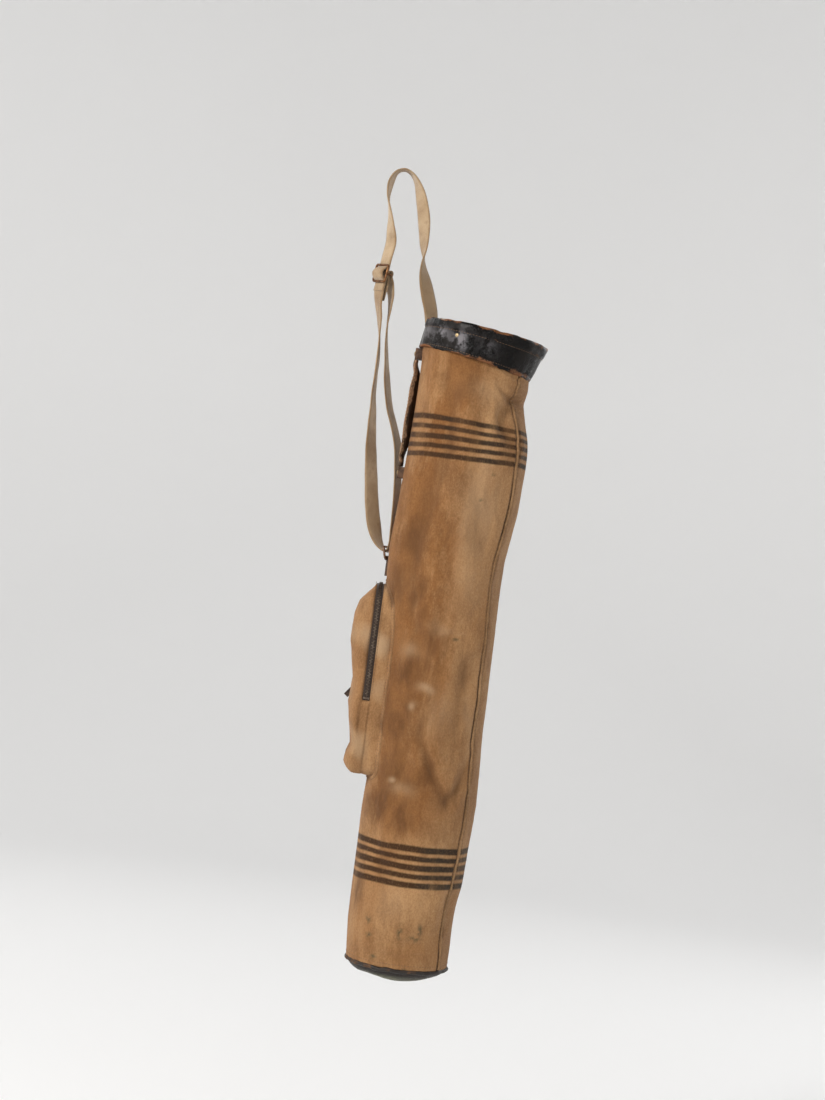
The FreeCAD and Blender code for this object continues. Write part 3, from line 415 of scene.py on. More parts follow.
def canvas_masks(angle, z, spot, pressed):
    """Stain, rub, spots, fold shade and a darkening towards the strap side per point. The back, which isn't seen, gets
    its own scatter.
    """
    x = spot[..., 0]
    front = smoothstep(-np.sin(angle), -0.15, 0.25)
    wander = np.stack([x, spot[..., 1], z], axis=-1)
    drift = CRUMPLE.at(wander) * 3
    lift = CRUMPLE.at(wander + 200) * 3
    flip = -x + 12
    zb = (z * 0.93 + 40)
    stain = front * blot(x + drift, z + lift, STAINS) + (1 - front) * 0.85 * blot(flip + drift, zb + lift, STAINS)
    rub = front * blot(x + drift, z + lift, RUBBED) + (1 - front) * blot(flip + drift, zb, RUBBED)
    spots = front * blot(x, z, SPOTS)
    # Darker towards the strap side, more so above about 150 to 230 mm, and a little more on the front.
    left_darkening = smoothstep(x + drift, 40, 4) * (0.45 + 0.55 * smoothstep(z + lift * 2, 150, 230)) * (0.75 + 0.25 * front)
    return {"stain": stain, "rub": rub, "spots": spots, "left_darkening": left_darkening, "fold": np.clip(pressed / 3.5, -0.4, 1.2)}


def canvas_part(name, start, end, columns, rows_n=430):
    """One length of canvas between two angles, with thickness, turned in at its seams."""
    angles = np.linspace(start, end, columns)
    heights = np.linspace(FOOT, BRIM, rows_n)
    a, z = np.meshgrid(angles, heights)
    arc = 74.0
    from_edge = np.minimum(a - start, end - a) * arc
    tuck = -1.1 * np.exp(-(from_edge / 1.6) ** 2) + 0.35 * np.exp(-((from_edge - 5.0) / 2.2) ** 2)
    pucker = 0.28 * np.sin(z / 4.1 * 2 * math.pi + 3 * SWELL.at(np.stack([a * arc, z, z], -1)))
    pucker *= np.exp(-(from_edge / 4.5) ** 2)
    outer, outward, pressed = skin(a, z, tuck + pucker)
    masks = canvas_masks(a, z, outer, pressed)
    masks["seam"] = np.exp(-(from_edge / 2.2) ** 2)
    inner = outer - outward * 1.5
    n = rows_n * columns
    verts = np.vstack([outer.reshape(-1, 3), inner.reshape(-1, 3)])
    faces = grid_faces(rows_n, columns)
    faces += [tuple(n + v for v in quad[::-1]) for quad in grid_faces(rows_n, columns)]
    last = (rows_n - 1) * columns
    for j in range(columns - 1):
        faces.append((n + j, n + j + 1, j + 1, j))
        faces.append((last + j, last + j + 1, n + last + j + 1, n + last + j))
    for i in range(rows_n - 1):
        p, q = i * columns, (i + 1) * columns
        faces.append((p, q, n + q, n + p))
        p, q = p + columns - 1, q + columns - 1
        faces.append((q, p, n + p, n + q))
    uv = np.stack([a * arc / 1000, z / 1000], axis=-1).reshape(-1, 2)
    doubled = {key: np.tile(values.ravel(), 2) for key, values in masks.items()}
    doubled["inside"] = np.concatenate([np.zeros(n), np.ones(n)])
    return mesh_object(name, verts, faces, np.vstack([uv, uv]), doubled)


# --- materials ----------------------------------------------------------------------------------------------------

class Paint:
    """A short way to write a procedural material: each call adds a node and gives back its output."""

    def __init__(self, name, roughness=0.8, metallic=0.0, sheen=0.0, sheen_rough=0.5, coat=0.0, specular=0.5):
        self.material = bpy.data.materials.new(name)
        self.material.use_nodes = True
        self.tree = self.material.node_tree
        self.shader = self.tree.nodes["Principled BSDF"]
        self.shader.inputs["Roughness"].default_value = roughness
        self.shader.inputs["Metallic"].default_value = metallic
        self.shader.inputs["Specular IOR Level"].default_value = specular
        self.shader.inputs["Sheen Weight"].default_value = sheen
        self.shader.inputs["Sheen Roughness"].default_value = sheen_rough
        self.shader.inputs["Coat Weight"].default_value = coat
        self.coords = self.tree.nodes.new("ShaderNodeTexCoord")
        self.height = None

    def wire(self, socket, value):
        if isinstance(value, bpy.types.NodeSocket):
            self.tree.links.new(value, socket)
        elif value is not None:
            socket.default_value = value

    def place(self, space="Object", scale=(1, 1, 1)):
        node = self.tree.nodes.new("ShaderNodeMapping")
        self.wire(node.inputs["Vector"], self.coords.outputs[space])
        node.inputs["Scale"].default_value = scale
        return node.outputs[0]

    def noise(self, scale, detail=4.0, rough=0.55, space="Object", stretch=(1, 1, 1), distortion=0.0):
        node = self.tree.nodes.new("ShaderNodeTexNoise")
        self.wire(node.inputs["Vector"], self.place(space, stretch))
        node.inputs["Scale"].default_value = scale
        node.inputs["Detail"].default_value = detail
        node.inputs["Roughness"].default_value = rough
        node.inputs["Distortion"].default_value = distortion
        return node.outputs["Fac"]

    def cells(self, scale, feature="DISTANCE_TO_EDGE", space="Object"):
        node = self.tree.nodes.new("ShaderNodeTexVoronoi")
        node.feature = feature
        self.wire(node.inputs["Vector"], self.place(space))
        node.inputs["Scale"].default_value = scale
        return node.outputs["Distance"]

    def uv(self):
        node = self.tree.nodes.new("ShaderNodeSeparateXYZ")
        self.wire(node.inputs[0], self.coords.outputs["UV"])
        return node.outputs[0], node.outputs[1]

    def field(self, name):
        node = self.tree.nodes.new("ShaderNodeAttribute")
        node.attribute_name = name
        return node.outputs["Fac"]

    def math(self, kind, a, b=None, c=None, clamp=False):
        node = self.tree.nodes.new("ShaderNodeMath")
        node.operation = kind
        node.use_clamp = clamp
        for socket, value in zip(node.inputs, (a, b, c)):
            self.wire(socket, value)
        return node.outputs[0]

    def span(self, value, low, high, to_low=0.0, to_high=1.0):
        node = self.tree.nodes.new("ShaderNodeMapRange")
        node.interpolation_type = "SMOOTHSTEP"
        for socket, number in zip(node.inputs, (value, low, high, to_low, to_high)):
            self.wire(socket, number)
        return node.outputs[0]

    def mix(self, factor, a, b, kind="MIX"):
        node = self.tree.nodes.new("ShaderNodeMix")
        node.data_type = "RGBA"
        node.blend_type = kind
        self.wire(node.inputs["Factor"], factor)
        self.wire(node.inputs["A"], a if isinstance(a, bpy.types.NodeSocket) else (*a, 1.0))
        self.wire(node.inputs["B"], b if isinstance(b, bpy.types.NodeSocket) else (*b, 1.0))
        return node.outputs["Result"]

    def ramp(self, value, stops, kind="LINEAR"):
        """A grey ramp through (position, level) stops."""
        node = self.tree.nodes.new("ShaderNodeValToRGB")
        node.color_ramp.interpolation = kind
        elements = node.color_ramp.elements
        while len(elements) < len(stops):
            elements.new(0.5)
        for element, (position, level) in zip(elements, stops):
            element.position = position
            element.color = (level, level, level, 1.0)
        self.wire(node.inputs[0], value)
        return node.outputs["Color"]

    def bump(self, height, distance, strength=1.0):
        node = self.tree.nodes.new("ShaderNodeBump")
        node.inputs["Distance"].default_value = distance
        node.inputs["Strength"].default_value = strength
        self.wire(node.inputs["Height"], height)
        if self.height is not None:
            self.wire(node.inputs["Normal"], self.height)
        self.height = node.outputs["Normal"]

    def done(self, color, roughness=None):
        self.wire(self.shader.inputs["Base Color"], color)
        if roughness is not None:
            self.wire(self.shader.inputs["Roughness"], roughness)
        if self.height is not None:
            self.wire(self.shader.inputs["Normal"], self.height)
        return self.material


def weave(paint, pitch_u, pitch_v, depth, strength=0.7):
    """Plain weave over the UVs, in metres: threads over and under, as bump, and a level for the colour, which the
    materials use to paint shade where the threads dip.
    """
    u, v = paint.uv()
    wave_u = paint.math("SINE", paint.math("MULTIPLY", u, 2 * math.pi / pitch_u))
    wave_v = paint.math("SINE", paint.math("MULTIPLY", v, 2 * math.pi / pitch_v))
    over = paint.math("MULTIPLY", wave_u, wave_v)
    level = paint.math("MULTIPLY_ADD", over, 0.5, 0.5)
    paint.bump(level, depth, strength)
    return level


def stripes(bands):
    """Ramp stops, over a band's height, for stripes given as (start, end) with soft edges."""
    stops = [(0.0, 0.0)]
    for low, high in bands:
        stops += [(low - 0.018, 0.0), (low + 0.018, 1.0), (high - 0.018, 1.0), (high + 0.018, 0.0)]
    return stops + [(1.0, 0.0)]


def canvas_material(name, pale, tan, dirt_and_fold_shade=1.0, banded=False, pitch=0.00085):
    p = Paint(name, roughness=0.95, sheen=0.06, sheen_rough=0.5, specular=0.18)
    level = weave(p, pitch, pitch * 1.1, 0.00022)
    slub = p.noise(260, 3, 0.6, "UV", (1, 0.12, 1))
    slub_v = p.noise(260, 3, 0.6, "UV", (0.12, 1, 1))
    p.bump(p.math("ADD", slub, slub_v), 0.00025, 0.5)
    p.bump(p.noise(48, 4, 0.6), 0.0012, 0.34)
    cloud = p.noise(8, 5, 0.6, "Object", (1.2, 1.2, 0.6), 0.6)
    mottle = p.noise(30, 6, 0.66, "Object", (1.2, 1.2, 0.5))
    color = p.mix(p.span(cloud, 0.34, 0.66), tan, pale)
    color = p.mix(p.math("MULTIPLY", p.span(mottle, 0.44, 0.66), 0.50), color, (0.195, 0.092, 0.037))
    color = p.mix(p.math("MULTIPLY", p.span(slub_v, 0.52, 0.8), 0.22), color, (0.46, 0.30, 0.165))
    grain = p.noise(560, 3, 0.7, "Object", (1, 1, 0.6))
    color = p.mix(p.math("MULTIPLY", p.span(grain, 0.46, 0.66), 0.30), color, (0.150, 0.070, 0.028))
    color = p.mix(p.math("MULTIPLY", p.span(grain, 0.50, 0.34), 0.20), color, (0.62, 0.40, 0.22))
    if dirt_and_fold_shade:
        # Multiplies the canvas darker towards the strap side, broken up by a streaky noise.
        streaky = p.noise(13, 6, 0.68, "Object", (1.3, 1.3, 0.5), 0.3)
        left_darkening = p.math("MULTIPLY", p.field("left_darkening"), p.span(streaky, 0.38, 0.60, 0.30, 1.25), clamp=True)
        color = p.mix(left_darkening, color, (0.62, 0.50, 0.37), "MULTIPLY")
        patchy = p.span(p.noise(24, 7, 0.72, "Object", (1.25, 1.25, 0.42), 0.3), 0.30, 0.66, 0.40, 1.2)
        stain = p.math("MULTIPLY", p.math("MULTIPLY", p.field("stain"), patchy), dirt_and_fold_shade)
        soak = p.span(stain, 0.04, 0.95)
        color = p.mix(p.math("MULTIPLY", soak, 0.66), color, (0.150, 0.062, 0.021))
        color = p.mix(p.math("MULTIPLY", p.math("POWER", soak, 3.0), 0.42), color, (0.072, 0.030, 0.012))
        rub = p.math("MULTIPLY", p.field("rub"), p.span(mottle, 0.3, 0.6, 0.4, 1.0), clamp=True)
        color = p.mix(p.math("MULTIPLY", rub, 0.62), color, (0.50, 0.345, 0.205))
        # Painted shade: the canvas darkens in its folds, as far as each fold presses in.
        fold = p.math("MULTIPLY", p.span(p.field("fold"), 0.10, 1.0), p.span(mottle, 0.36, 0.60, 0.35, 1.0))
        color = p.mix(p.math("MULTIPLY", fold, 0.34), color, (0.12, 0.055, 0.022))
        speck = p.math("MULTIPLY", p.field("spots"), p.span(p.noise(170, 3), 0.36, 0.56))
        color = p.mix(p.math("MULTIPLY", speck, 0.8, clamp=True), color, (0.055, 0.060, 0.034))
        color = p.mix(p.math("MULTIPLY", p.field("seam"), 0.55), color, (0.115, 0.055, 0.024))
    if banded:
        u, v = p.uv()
        wobble = p.math("MULTIPLY_ADD", p.noise(16, 3, 0.5, "UV", (1, 1, 1)), 0.005, -0.0025)
        height = p.math("ADD", v, wobble)
        upper = p.span(height, 0.6720, 0.7290)
        upper.node.interpolation_type = "LINEAR"
        upper = p.ramp(upper, stripes([(.030, .149), (.241, .345), (.437, .556), (.648, .752), (.844, .963)]))
        lower = p.span(height, 0.1080, 0.1690)
        lower.node.interpolation_type = "LINEAR"
        lower = p.ramp(lower, stripes([(.042, .172), (.246, .358), (.428, .562), (.634, .746), (.818, .950)]))
        worn = p.math("MULTIPLY", p.span(p.noise(30, 4, 0.6, "UV", (1, 0.35, 1)), 0.30, 0.54, 0.74, 1.0),
                      p.span(grain, 0.30, 0.50, 0.80, 1.0))
        ink = p.math("MULTIPLY", p.math("MAXIMUM", upper, lower), worn)
        side = p.span(p.noise(7, 2, 0.5, "Object", (1.6, 1.6, 0.1)), 0.42, 0.58)
        dye = p.mix(side, (0.040, 0.017, 0.006), (0.026, 0.020, 0.014))
        color = p.mix(ink, color, dye)
    if dirt_and_fold_shade:
        lining = p.mix(mottle, (0.16, 0.11, 0.065), (0.27, 0.19, 0.115))
        color = p.mix(p.field("inside"), color, lining)
    # Painted shade: darker where the weave's threads dip under.
    color = p.mix(p.math("MULTIPLY", p.math("SUBTRACT", 1.0, level), 0.30), color, (0.085, 0.044, 0.020))
    return p.done(color, p.span(mottle, 0.3, 0.7, 0.88, 0.98))


def webbing_material():
    p = Paint("webbing", roughness=0.88, sheen=0.35, sheen_rough=0.4, specular=0.3)
    u, v = p.uv()
    wave_u = p.math("SINE", p.math("MULTIPLY", u, 2 * math.pi / 0.0016))
    slant = p.math("ADD", p.math("MULTIPLY", v, 2 * math.pi / 0.0017),
                   p.math("MULTIPLY", p.math("ABSOLUTE", p.math("SINE", p.math("MULTIPLY", u, math.pi / 0.0064))), 3.0))
    wave_v = p.math("SINE", slant)
    level = p.math("MULTIPLY_ADD", p.math("MULTIPLY", wave_u, wave_v), 0.5, 0.5)
    p.bump(level, 0.0004, 0.8)
    p.bump(p.noise(420, 3), 0.00015, 0.5)
    cloud = p.noise(13, 5, 0.62, distortion=0.4)
    grime = p.noise(46, 5, 0.65)
    color = p.mix(p.span(cloud, 0.34, 0.66), (0.36, 0.235, 0.125), (0.56, 0.41, 0.255))
    color = p.mix(p.math("MULTIPLY", p.span(grime, 0.5, 0.72), 0.55), color, (0.205, 0.115, 0.055))
    edge = p.span(p.field("edge"), 0.8, 0.98)
    color = p.mix(p.math("MULTIPLY", edge, 0.45), color, (0.20, 0.12, 0.06))
    # Painted shade: darker where the webbing's threads dip under.
    color = p.mix(p.math("MULTIPLY", p.math("SUBTRACT", 1.0, level), 0.34), color, (0.13, 0.075, 0.036))
    return p.done(color, p.span(grime, 0.3, 0.7, 0.8, 0.95))


def leather_material(name, deep, high, worn, wear_and_light_mask=None, gloss=(0.28, 0.62), crack=0.5, coat=0.0, specular=0.34,
                     scuff_and_sheen=None):
    p = Paint(name, roughness=0.5, coat=coat, specular=specular)
    grain = p.cells(780)
    p.bump(p.span(grain, 0.0, 0.35), 0.00022, 0.45)
    lines = p.cells(95)
    cracks = p.span(lines, 0.0, 0.06, 1.0, 0.0)
    cracks = p.math("MULTIPLY", cracks, p.span(p.noise(30, 3), 0.42, 0.62))
    p.bump(p.math("MULTIPLY", cracks, -1.0), 0.0005, crack)
    p.bump(p.noise(60, 4, 0.6), 0.0009, 0.4)
    cloud = p.noise(24, 5, 0.65, distortion=0.6)
    color = p.mix(p.span(cloud, 0.35, 0.65), deep, high)
    rubbed_and_lit = p.span(p.noise(70, 6, 0.7), 0.44, 0.62)
    if wear_and_light_mask:
        mask = p.field(wear_and_light_mask)
        rubbed_and_lit = p.span(p.math("ADD", p.math("MULTIPLY", mask, 0.95), p.math("MULTIPLY", rubbed_and_lit, 0.55)), 0.55, 1.05)
    else:
        rubbed_and_lit = p.math("MULTIPLY", rubbed_and_lit, 0.4)
    # The worn tone goes where the wear mask says; on the handle that mask also paints a highlight on the grip's lit
    # front edge.
    color = p.mix(rubbed_and_lit, color, p.mix(p.noise(120, 4), worn, tuple(0.55 * c for c in worn)))
    if scuff_and_sheen:
        # Pale patches laid into the colour: partly scuffed leather, partly a painted sheen.
        scuff_sheen_mask = p.math("MULTIPLY", p.field("scuff_and_sheen"), p.span(p.noise(62, 5, 0.62), 0.44, 0.60), clamp=True)
        color = p.mix(scuff_sheen_mask, color, scuff_and_sheen)
    color = p.mix(p.math("MULTIPLY", cracks, 0.5), color, tuple(0.5 * c for c in deep))
    rough = p.math("ADD", p.span(cloud, 0.34, 0.66, *gloss), p.math("MULTIPLY", rubbed_and_lit, 0.28), clamp=True)
    return p.done(color, rough)


def metal_material(name, base, tarnish, rough=0.32, spread=0.5):
    p = Paint(name, roughness=rough, metallic=1.0)
    cloud = p.noise(160, 5, 0.65, distortion=0.4)
    spots = p.noise(520, 4, 0.6)
    p.bump(spots, 0.00012, 0.4)
    p.bump(cloud, 0.0003, 0.25)
    dull = p.math("MULTIPLY", p.span(cloud, 0.38, 0.66), spread * 1.6, clamp=True)
    color = p.mix(dull, base, tarnish)
    p.wire(p.shader.inputs["Metallic"], p.span(dull, 0.2, 1.0, 1.0, 0.45))
    return p.done(color, p.span(dull, 0.0, 1.0, rough, rough + 0.35))


def plain_material(name, low, high, rough=0.85, grain=90, depth=0.0006, stretch=(1, 1, 1), sheen=0.0):
    p = Paint(name, roughness=rough, sheen=sheen)
    cloud = p.noise(grain, 6, 0.65, "Object", stretch, 0.4)
    fine = p.noise(grain * 6, 3, 0.6, "Object", stretch)
    p.bump(cloud, depth, 0.5)
    p.bump(fine, depth * 0.35, 0.5)
    color = p.mix(p.span(p.math("MULTIPLY_ADD", fine, 0.3, p.math("MULTIPLY", cloud, 0.7)), 0.36, 0.64), low, high)
    return p.done(color, p.span(fine, 0.3, 0.7, rough - 0.08, min(rough + 0.06, 1.0)))


def cup_material():
    """A moulded cup, near black where it meets the piping and worn to olive on its underside."""
    p = Paint("base_cup", roughness=0.6, specular=0.4)
    cloud = p.noise(70, 6, 0.66, distortion=0.5)
    fine = p.noise(420, 4, 0.6)
    p.bump(cloud, 0.0009, 0.5)
    p.bump(fine, 0.0003, 0.4)
    olive = p.mix(p.span(cloud, 0.36, 0.64), (0.060, 0.060, 0.030), (0.135, 0.135, 0.078))
    bare = p.math("MULTIPLY", p.field("olive"), p.span(cloud, 0.3, 0.5, 0.55, 1.0), clamp=True)
    return p.done(p.mix(bare, (0.014, 0.009, 0.006), olive), p.span(fine, 0.3, 0.7, 0.5, 0.72))


MATERIALS = {
    "canvas": canvas_material("canvas", (0.485, 0.272, 0.122), (0.350, 0.174, 0.068), banded=True),
    # A darker copy of the canvas for the side gore: painted shade on the side turned away from the key light.
    "canvas_gore": canvas_material("canvas_gore", (0.385, 0.213, 0.095), (0.282, 0.143, 0.059), dirt_and_fold_shade=0.7, banded=True),
    "canvas_pocket": canvas_material("canvas_pocket", (0.500, 0.290, 0.136), (0.380, 0.200, 0.086), dirt_and_fold_shade=0.8),
    "canvas_lining": canvas_material("canvas_lining", (0.36, 0.27, 0.17), (0.26, 0.19, 0.12), dirt_and_fold_shade=0),
    "seam_piping": canvas_material("seam_piping", (0.36, 0.215, 0.106), (0.25, 0.137, 0.062), dirt_and_fold_shade=0),
    "webbing": webbing_material(),
    # The collar's pale grey patch tone is partly scuffed leather and partly a painted sheen.
    "collar_leather": leather_material("collar_leather", (0.0022, 0.0017, 0.0015), (0.0075, 0.0052, 0.0040),
                                       (0.230, 0.094, 0.038), "wear_and_light", gloss=(0.16, 0.50), crack=1.0, coat=0.03, specular=0.14,
                                       scuff_and_sheen=(0.165, 0.155, 0.163)),
    "patch_leather": leather_material("patch_leather", (0.018, 0.012, 0.009), (0.045, 0.028, 0.018),
                                      (0.16, 0.08, 0.04), gloss=(0.3, 0.55)),
    "lining_leather": leather_material("lining_leather", (0.10, 0.055, 0.03), (0.20, 0.115, 0.065),
                                       (0.30, 0.19, 0.11), gloss=(0.6, 0.8)),
    # Handle leather: its near-black tones are partly painted shade for the face turned from the light, and its tan tone
    # is partly a painted highlight on the lit front edge and partly wear.
    "handle_leather": leather_material("handle_leather", (0.014, 0.007, 0.0035), (0.044, 0.021, 0.010),
                                       (0.34, 0.195, 0.110), "wear_and_light", gloss=(0.4, 0.65), crack=0.6),
    "tab_leather": leather_material("tab_leather", (0.030, 0.014, 0.007), (0.075, 0.036, 0.018),
                                    (0.30, 0.16, 0.085), gloss=(0.36, 0.6)),
    "base_piping": leather_material("base_piping", (0.012, 0.009, 0.007), (0.030, 0.020, 0.014),
                                    (0.13, 0.065, 0.032), "wear_and_light", gloss=(0.4, 0.65)),
    "base_cup": cup_material(),
    "board": plain_material("board", (0.20, 0.13, 0.08), (0.33, 0.23, 0.14), 0.9, 240, 0.0003),
    "steel_wire": metal_material("steel_wire", (0.52, 0.50, 0.47), (0.20, 0.12, 0.08)),
    "ash_slat": plain_material("ash_slat", (0.42, 0.29, 0.16), (0.62, 0.47, 0.30), 0.6, 90, 0.0003, (1, 1, 0.06)),
    "slider_metal": metal_material("slider_metal", (0.24, 0.115, 0.050), (0.075, 0.030, 0.013), 0.42, 0.62),
    "ring_metal": metal_material("ring_metal", (0.26, 0.17, 0.12), (0.11, 0.05, 0.025), 0.42, 0.6),
    "sash_cord": plain_material("sash_cord", (0.42, 0.36, 0.26), (0.6, 0.54, 0.42), 0.9, 300),
    "rivet_brass": metal_material("rivet_brass", (0.66, 0.50, 0.27), (0.25, 0.16, 0.085), 0.30, 0.4),
    "zip_tape": plain_material("zip_tape", (0.018, 0.010, 0.006), (0.048, 0.028, 0.018), 0.92, 700, 0.0003, sheen=0.3),
    "zip_metal": metal_material("zip_metal", (0.17, 0.13, 0.10), (0.060, 0.038, 0.024), 0.40, 0.55),
    "pull_leather": leather_material("pull_leather", (0.022, 0.013, 0.009), (0.055, 0.032, 0.020),
                                     (0.16, 0.085, 0.045), gloss=(0.35, 0.6)),
    "thread_dark": plain_material("thread_dark", (0.110, 0.060, 0.030), (0.20, 0.118, 0.062), 0.8, 1500, 0.0001),
    "thread_tan": plain_material("thread_tan", (0.30, 0.20, 0.11), (0.46, 0.33, 0.20), 0.8, 1500, 0.0001),
}


def settle(thing, body, slot, replaced=(), material=None):
    """Gives a piece its material, its body, its slot and the CAD nodes that it stands for."""
    thing.data.materials.clear()
    thing.data.materials.append(MATERIALS[material or slot])
    if body:
        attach(thing, body)
    if replaced:
        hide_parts(*replaced)
    return thing


# --- canvas tube --------------------------------------------------------------------------------------------------

def build_canvas():
    seam_start, seam_end = GORE_HALF + SEAM_HALF, 2 * math.pi - GORE_HALF - SEAM_HALF
    settle(canvas_part("canvas_back", seam_start, math.pi, 170), "root", "canvas", ["back_panel"])
    settle(canvas_part("canvas_front", math.pi, seam_end, 230), "root", "canvas", ["front_panel"])
    # The side gore takes the darker canvas copy, painted shade on the side away from the key light.
    settle(canvas_part("canvas_side_gore", -GORE_HALF + SEAM_HALF, GORE_HALF - SEAM_HALF, 76), "root",
           "canvas_gore", ["side_gore"])
    rows = []
    for name, node, angle in (("seam_piping_front", "front_welt", -GORE_HALF), ("seam_piping_back", "back_welt", GORE_HALF)):
        heights = np.linspace(FOOT + 1, BRIM - 10, 560)
        wander = 0.012 * Ripple(41, 160).at(np.stack([heights * 0, heights * 0, heights], -1))
        spots, outward, _ = skin(angle + wander, heights, 0.25)
        girth = 2.15 + 0.2 * Ripple(43, 22).at(spots) + 0.08 * np.sin(heights / 2.1 * 2 * math.pi)
        settle(tube(name, spots, girth, 12), "root", "seam_piping", [node])
        for shift in (-0.058, 0.058):
            line, out, _ = skin(angle + wander + shift, heights, 0.35)
            rows.append((line, out))
    settle(stitches("seam_stitches", rows, 2.5, 1.6, 0.3), "root", "seam_piping", material="thread_dark")


# --- collar -------------------------------------------------------------------------------------------------------

BAND = dict(up=806.5, across=2.2, wide=75.2, deep=75.2, tilt=11)
CROWN = dict(up=843.6, across=13.4, wide=80.4, deep=80.0, tilt=8)
DENT = Ripple(51, 70)
NICK = Ripple(53, 14)


def collar_point(angle, share, off):
    """A point off the collar's outside: share 0 is its lower edge, 1 its top."""
    angle, share, off = np.broadcast_arrays(*(np.asarray(v, float) for v in (angle, share, off)))
    ends = []
    for oval in (BAND, CROWN):
        tilt = math.radians(oval["tilt"])
        out = oval["wide"] * np.cos(angle)
        ends.append(np.stack([oval["across"] + out * math.cos(tilt), oval["deep"] * np.sin(angle),
                              oval["up"] - out * math.sin(tilt)], axis=-1))
    low, high = ends
    up = unit(high - low)
    outward = np.stack([np.cos(angle), np.sin(angle), np.zeros_like(angle)], axis=-1)
    outward = unit(outward - up * (outward * up).sum(-1, keepdims=True))
    spot = low + (high - low) * share[..., None]
    return spot + outward * off[..., None], outward, up


def build_collar():
    tall = 40.0
    profile = [(-0.004, -2.1), (-0.022, -1.4), (-0.030, -0.5), (-0.022, 0.5), (0.0, 1.1), (0.03, 1.2), (0.07, 0.95),
               (0.085, 0.7), (0.105, 0.72), (0.14, 0.95), (0.22, 1.0), (0.32, 1.05), (0.42, 1.05), (0.52, 1.0),
               (0.62, 0.95), (0.70, 0.9), (0.76, 0.85), (0.795, 0.75), (0.81, 1.5), (0.83, 1.95), (0.87, 2.1),
               (0.91, 2.0), (0.95, 1.75), (1.0, 1.5), (1.045, 1.35), (1.085, 0.9), (1.118, 0.0), (1.132, -1.1),
               (1.13, -2.2), (1.115, -3.3), (1.08, -4.3), (1.03, -4.75), (0.97, -4.7), (0.90, -4.5), (0.84, -4.3),
               (0.80, -4.1), (0.79, -2.4), (0.60, -2.1), (0.30, -2.1)]
    angles = np.linspace(0, 2 * math.pi, 420, endpoint=False)
    share = np.array([s for s, _ in profile])
    off = np.array([o for _, o in profile])
    a, s = np.meshgrid(angles, share)
    o = np.tile(off[:, None], (1, len(angles)))
    base, _, _ = collar_point(a, s, 0.0)
    outer = smoothstep(o, -2.2, -0.5)
    o = o + outer * (DENT.at(base) * 0.75 + CREASE.at(base) * 0.3 + NICK.at(base) * 0.14)
    edge = np.exp(-((s + 0.01) / 0.05) ** 2)
    rim = smoothstep(s, 0.98, 1.12)
    s = s + (NICK.at(base) * 0.012 + DENT.at(base) * 0.012) * (edge + rim * 0.5)
    verts, _, _ = collar_point(a, s, o)
    front = smoothstep(-np.sin(a), -0.3, 0.2)
    scuffs = sum(w * np.exp(-((base[..., 0] - x) / r) ** 2) * front for x, r, w in
                 ((-47, 9, .8), (-31, 6, .7), (37, 10, .75), (-60, 6, .5), (60, 7, .35)))
    behind = (1 - front) * np.clip(0.5 + 0.7 * DENT.at(base + 90), 0, 1)
    wear_and_light = (rim * (0.55 + 0.5 * NICK.at(base * 0.6)) + rim * (scuffs + behind) * 0.8
            + edge * (0.62 + 0.35 * DENT.at(base * 1.6)) + smoothstep(o, -2.2, -4.4) * 0.3)
    wear_and_light += 0.6 * np.exp(-((s - 0.05) / 0.07) ** 2) * smoothstep(DENT.at(base * 1.3 + 20), -0.1, 0.6)
    wear_and_light += 0.3 * np.exp(-((s - 0.8) / 0.03) ** 2) * smoothstep(NICK.at(base * 0.5 + 30), 0.0, 0.6)
    # Where the pale patches go on the collar: partly scuffs, partly a painted sheen for its gloss.
    scuff_and_sheen = sum(w * np.exp(-((base[..., 0] - x) / r) ** 2) * front for x, r, w in
                 ((-47, 9, 1.0), (-20, 12, 1.0), (16, 10, .35), (-64, 5, .6)))
    scuff_and_sheen = (scuff_and_sheen + 0.5 * behind * smoothstep(DENT.at(base + 160), 0.1, 0.8)) * np.exp(-((s - 0.48) / 0.34) ** 4)
    uv = np.stack([a * 78 / 1000, s * tall / 1000], axis=-1).reshape(-1, 2)
    faces = grid_faces(len(share), len(angles), wrap=True)
    last = (len(share) - 1) * len(angles)
    n = len(angles)
    faces += [(last + j, last + (j + 1) % n, (j + 1) % n, j) for j in range(n)]
    collar = mesh_object("collar_leather_band", verts.reshape(-1, 3), faces, uv, {
        "wear_and_light": np.clip(wear_and_light, 0, 1.4), "scuff_and_sheen": np.clip(scuff_and_sheen, 0, 1)})
    settle(collar, "root", "collar_leather", ["collar_band", "rim_binding"])
    loop = np.linspace(0, 2 * math.pi, 500)
    rows = []
    for share_at, off_at in ((0.085, 1.0), (0.765, 1.15)):
        base, _, _ = collar_point(loop, share_at, 0.0)
        line, out, _ = collar_point(loop, share_at, off_at + DENT.at(base) * 0.75)
        rows.append((line, out))
    settle(stitches("collar_stitches", rows, 2.6, 1.5, 0.3), "root", "collar_leather", material="thread_dark")


# --- foot ---------------------------------------------------------------------------------------------------------

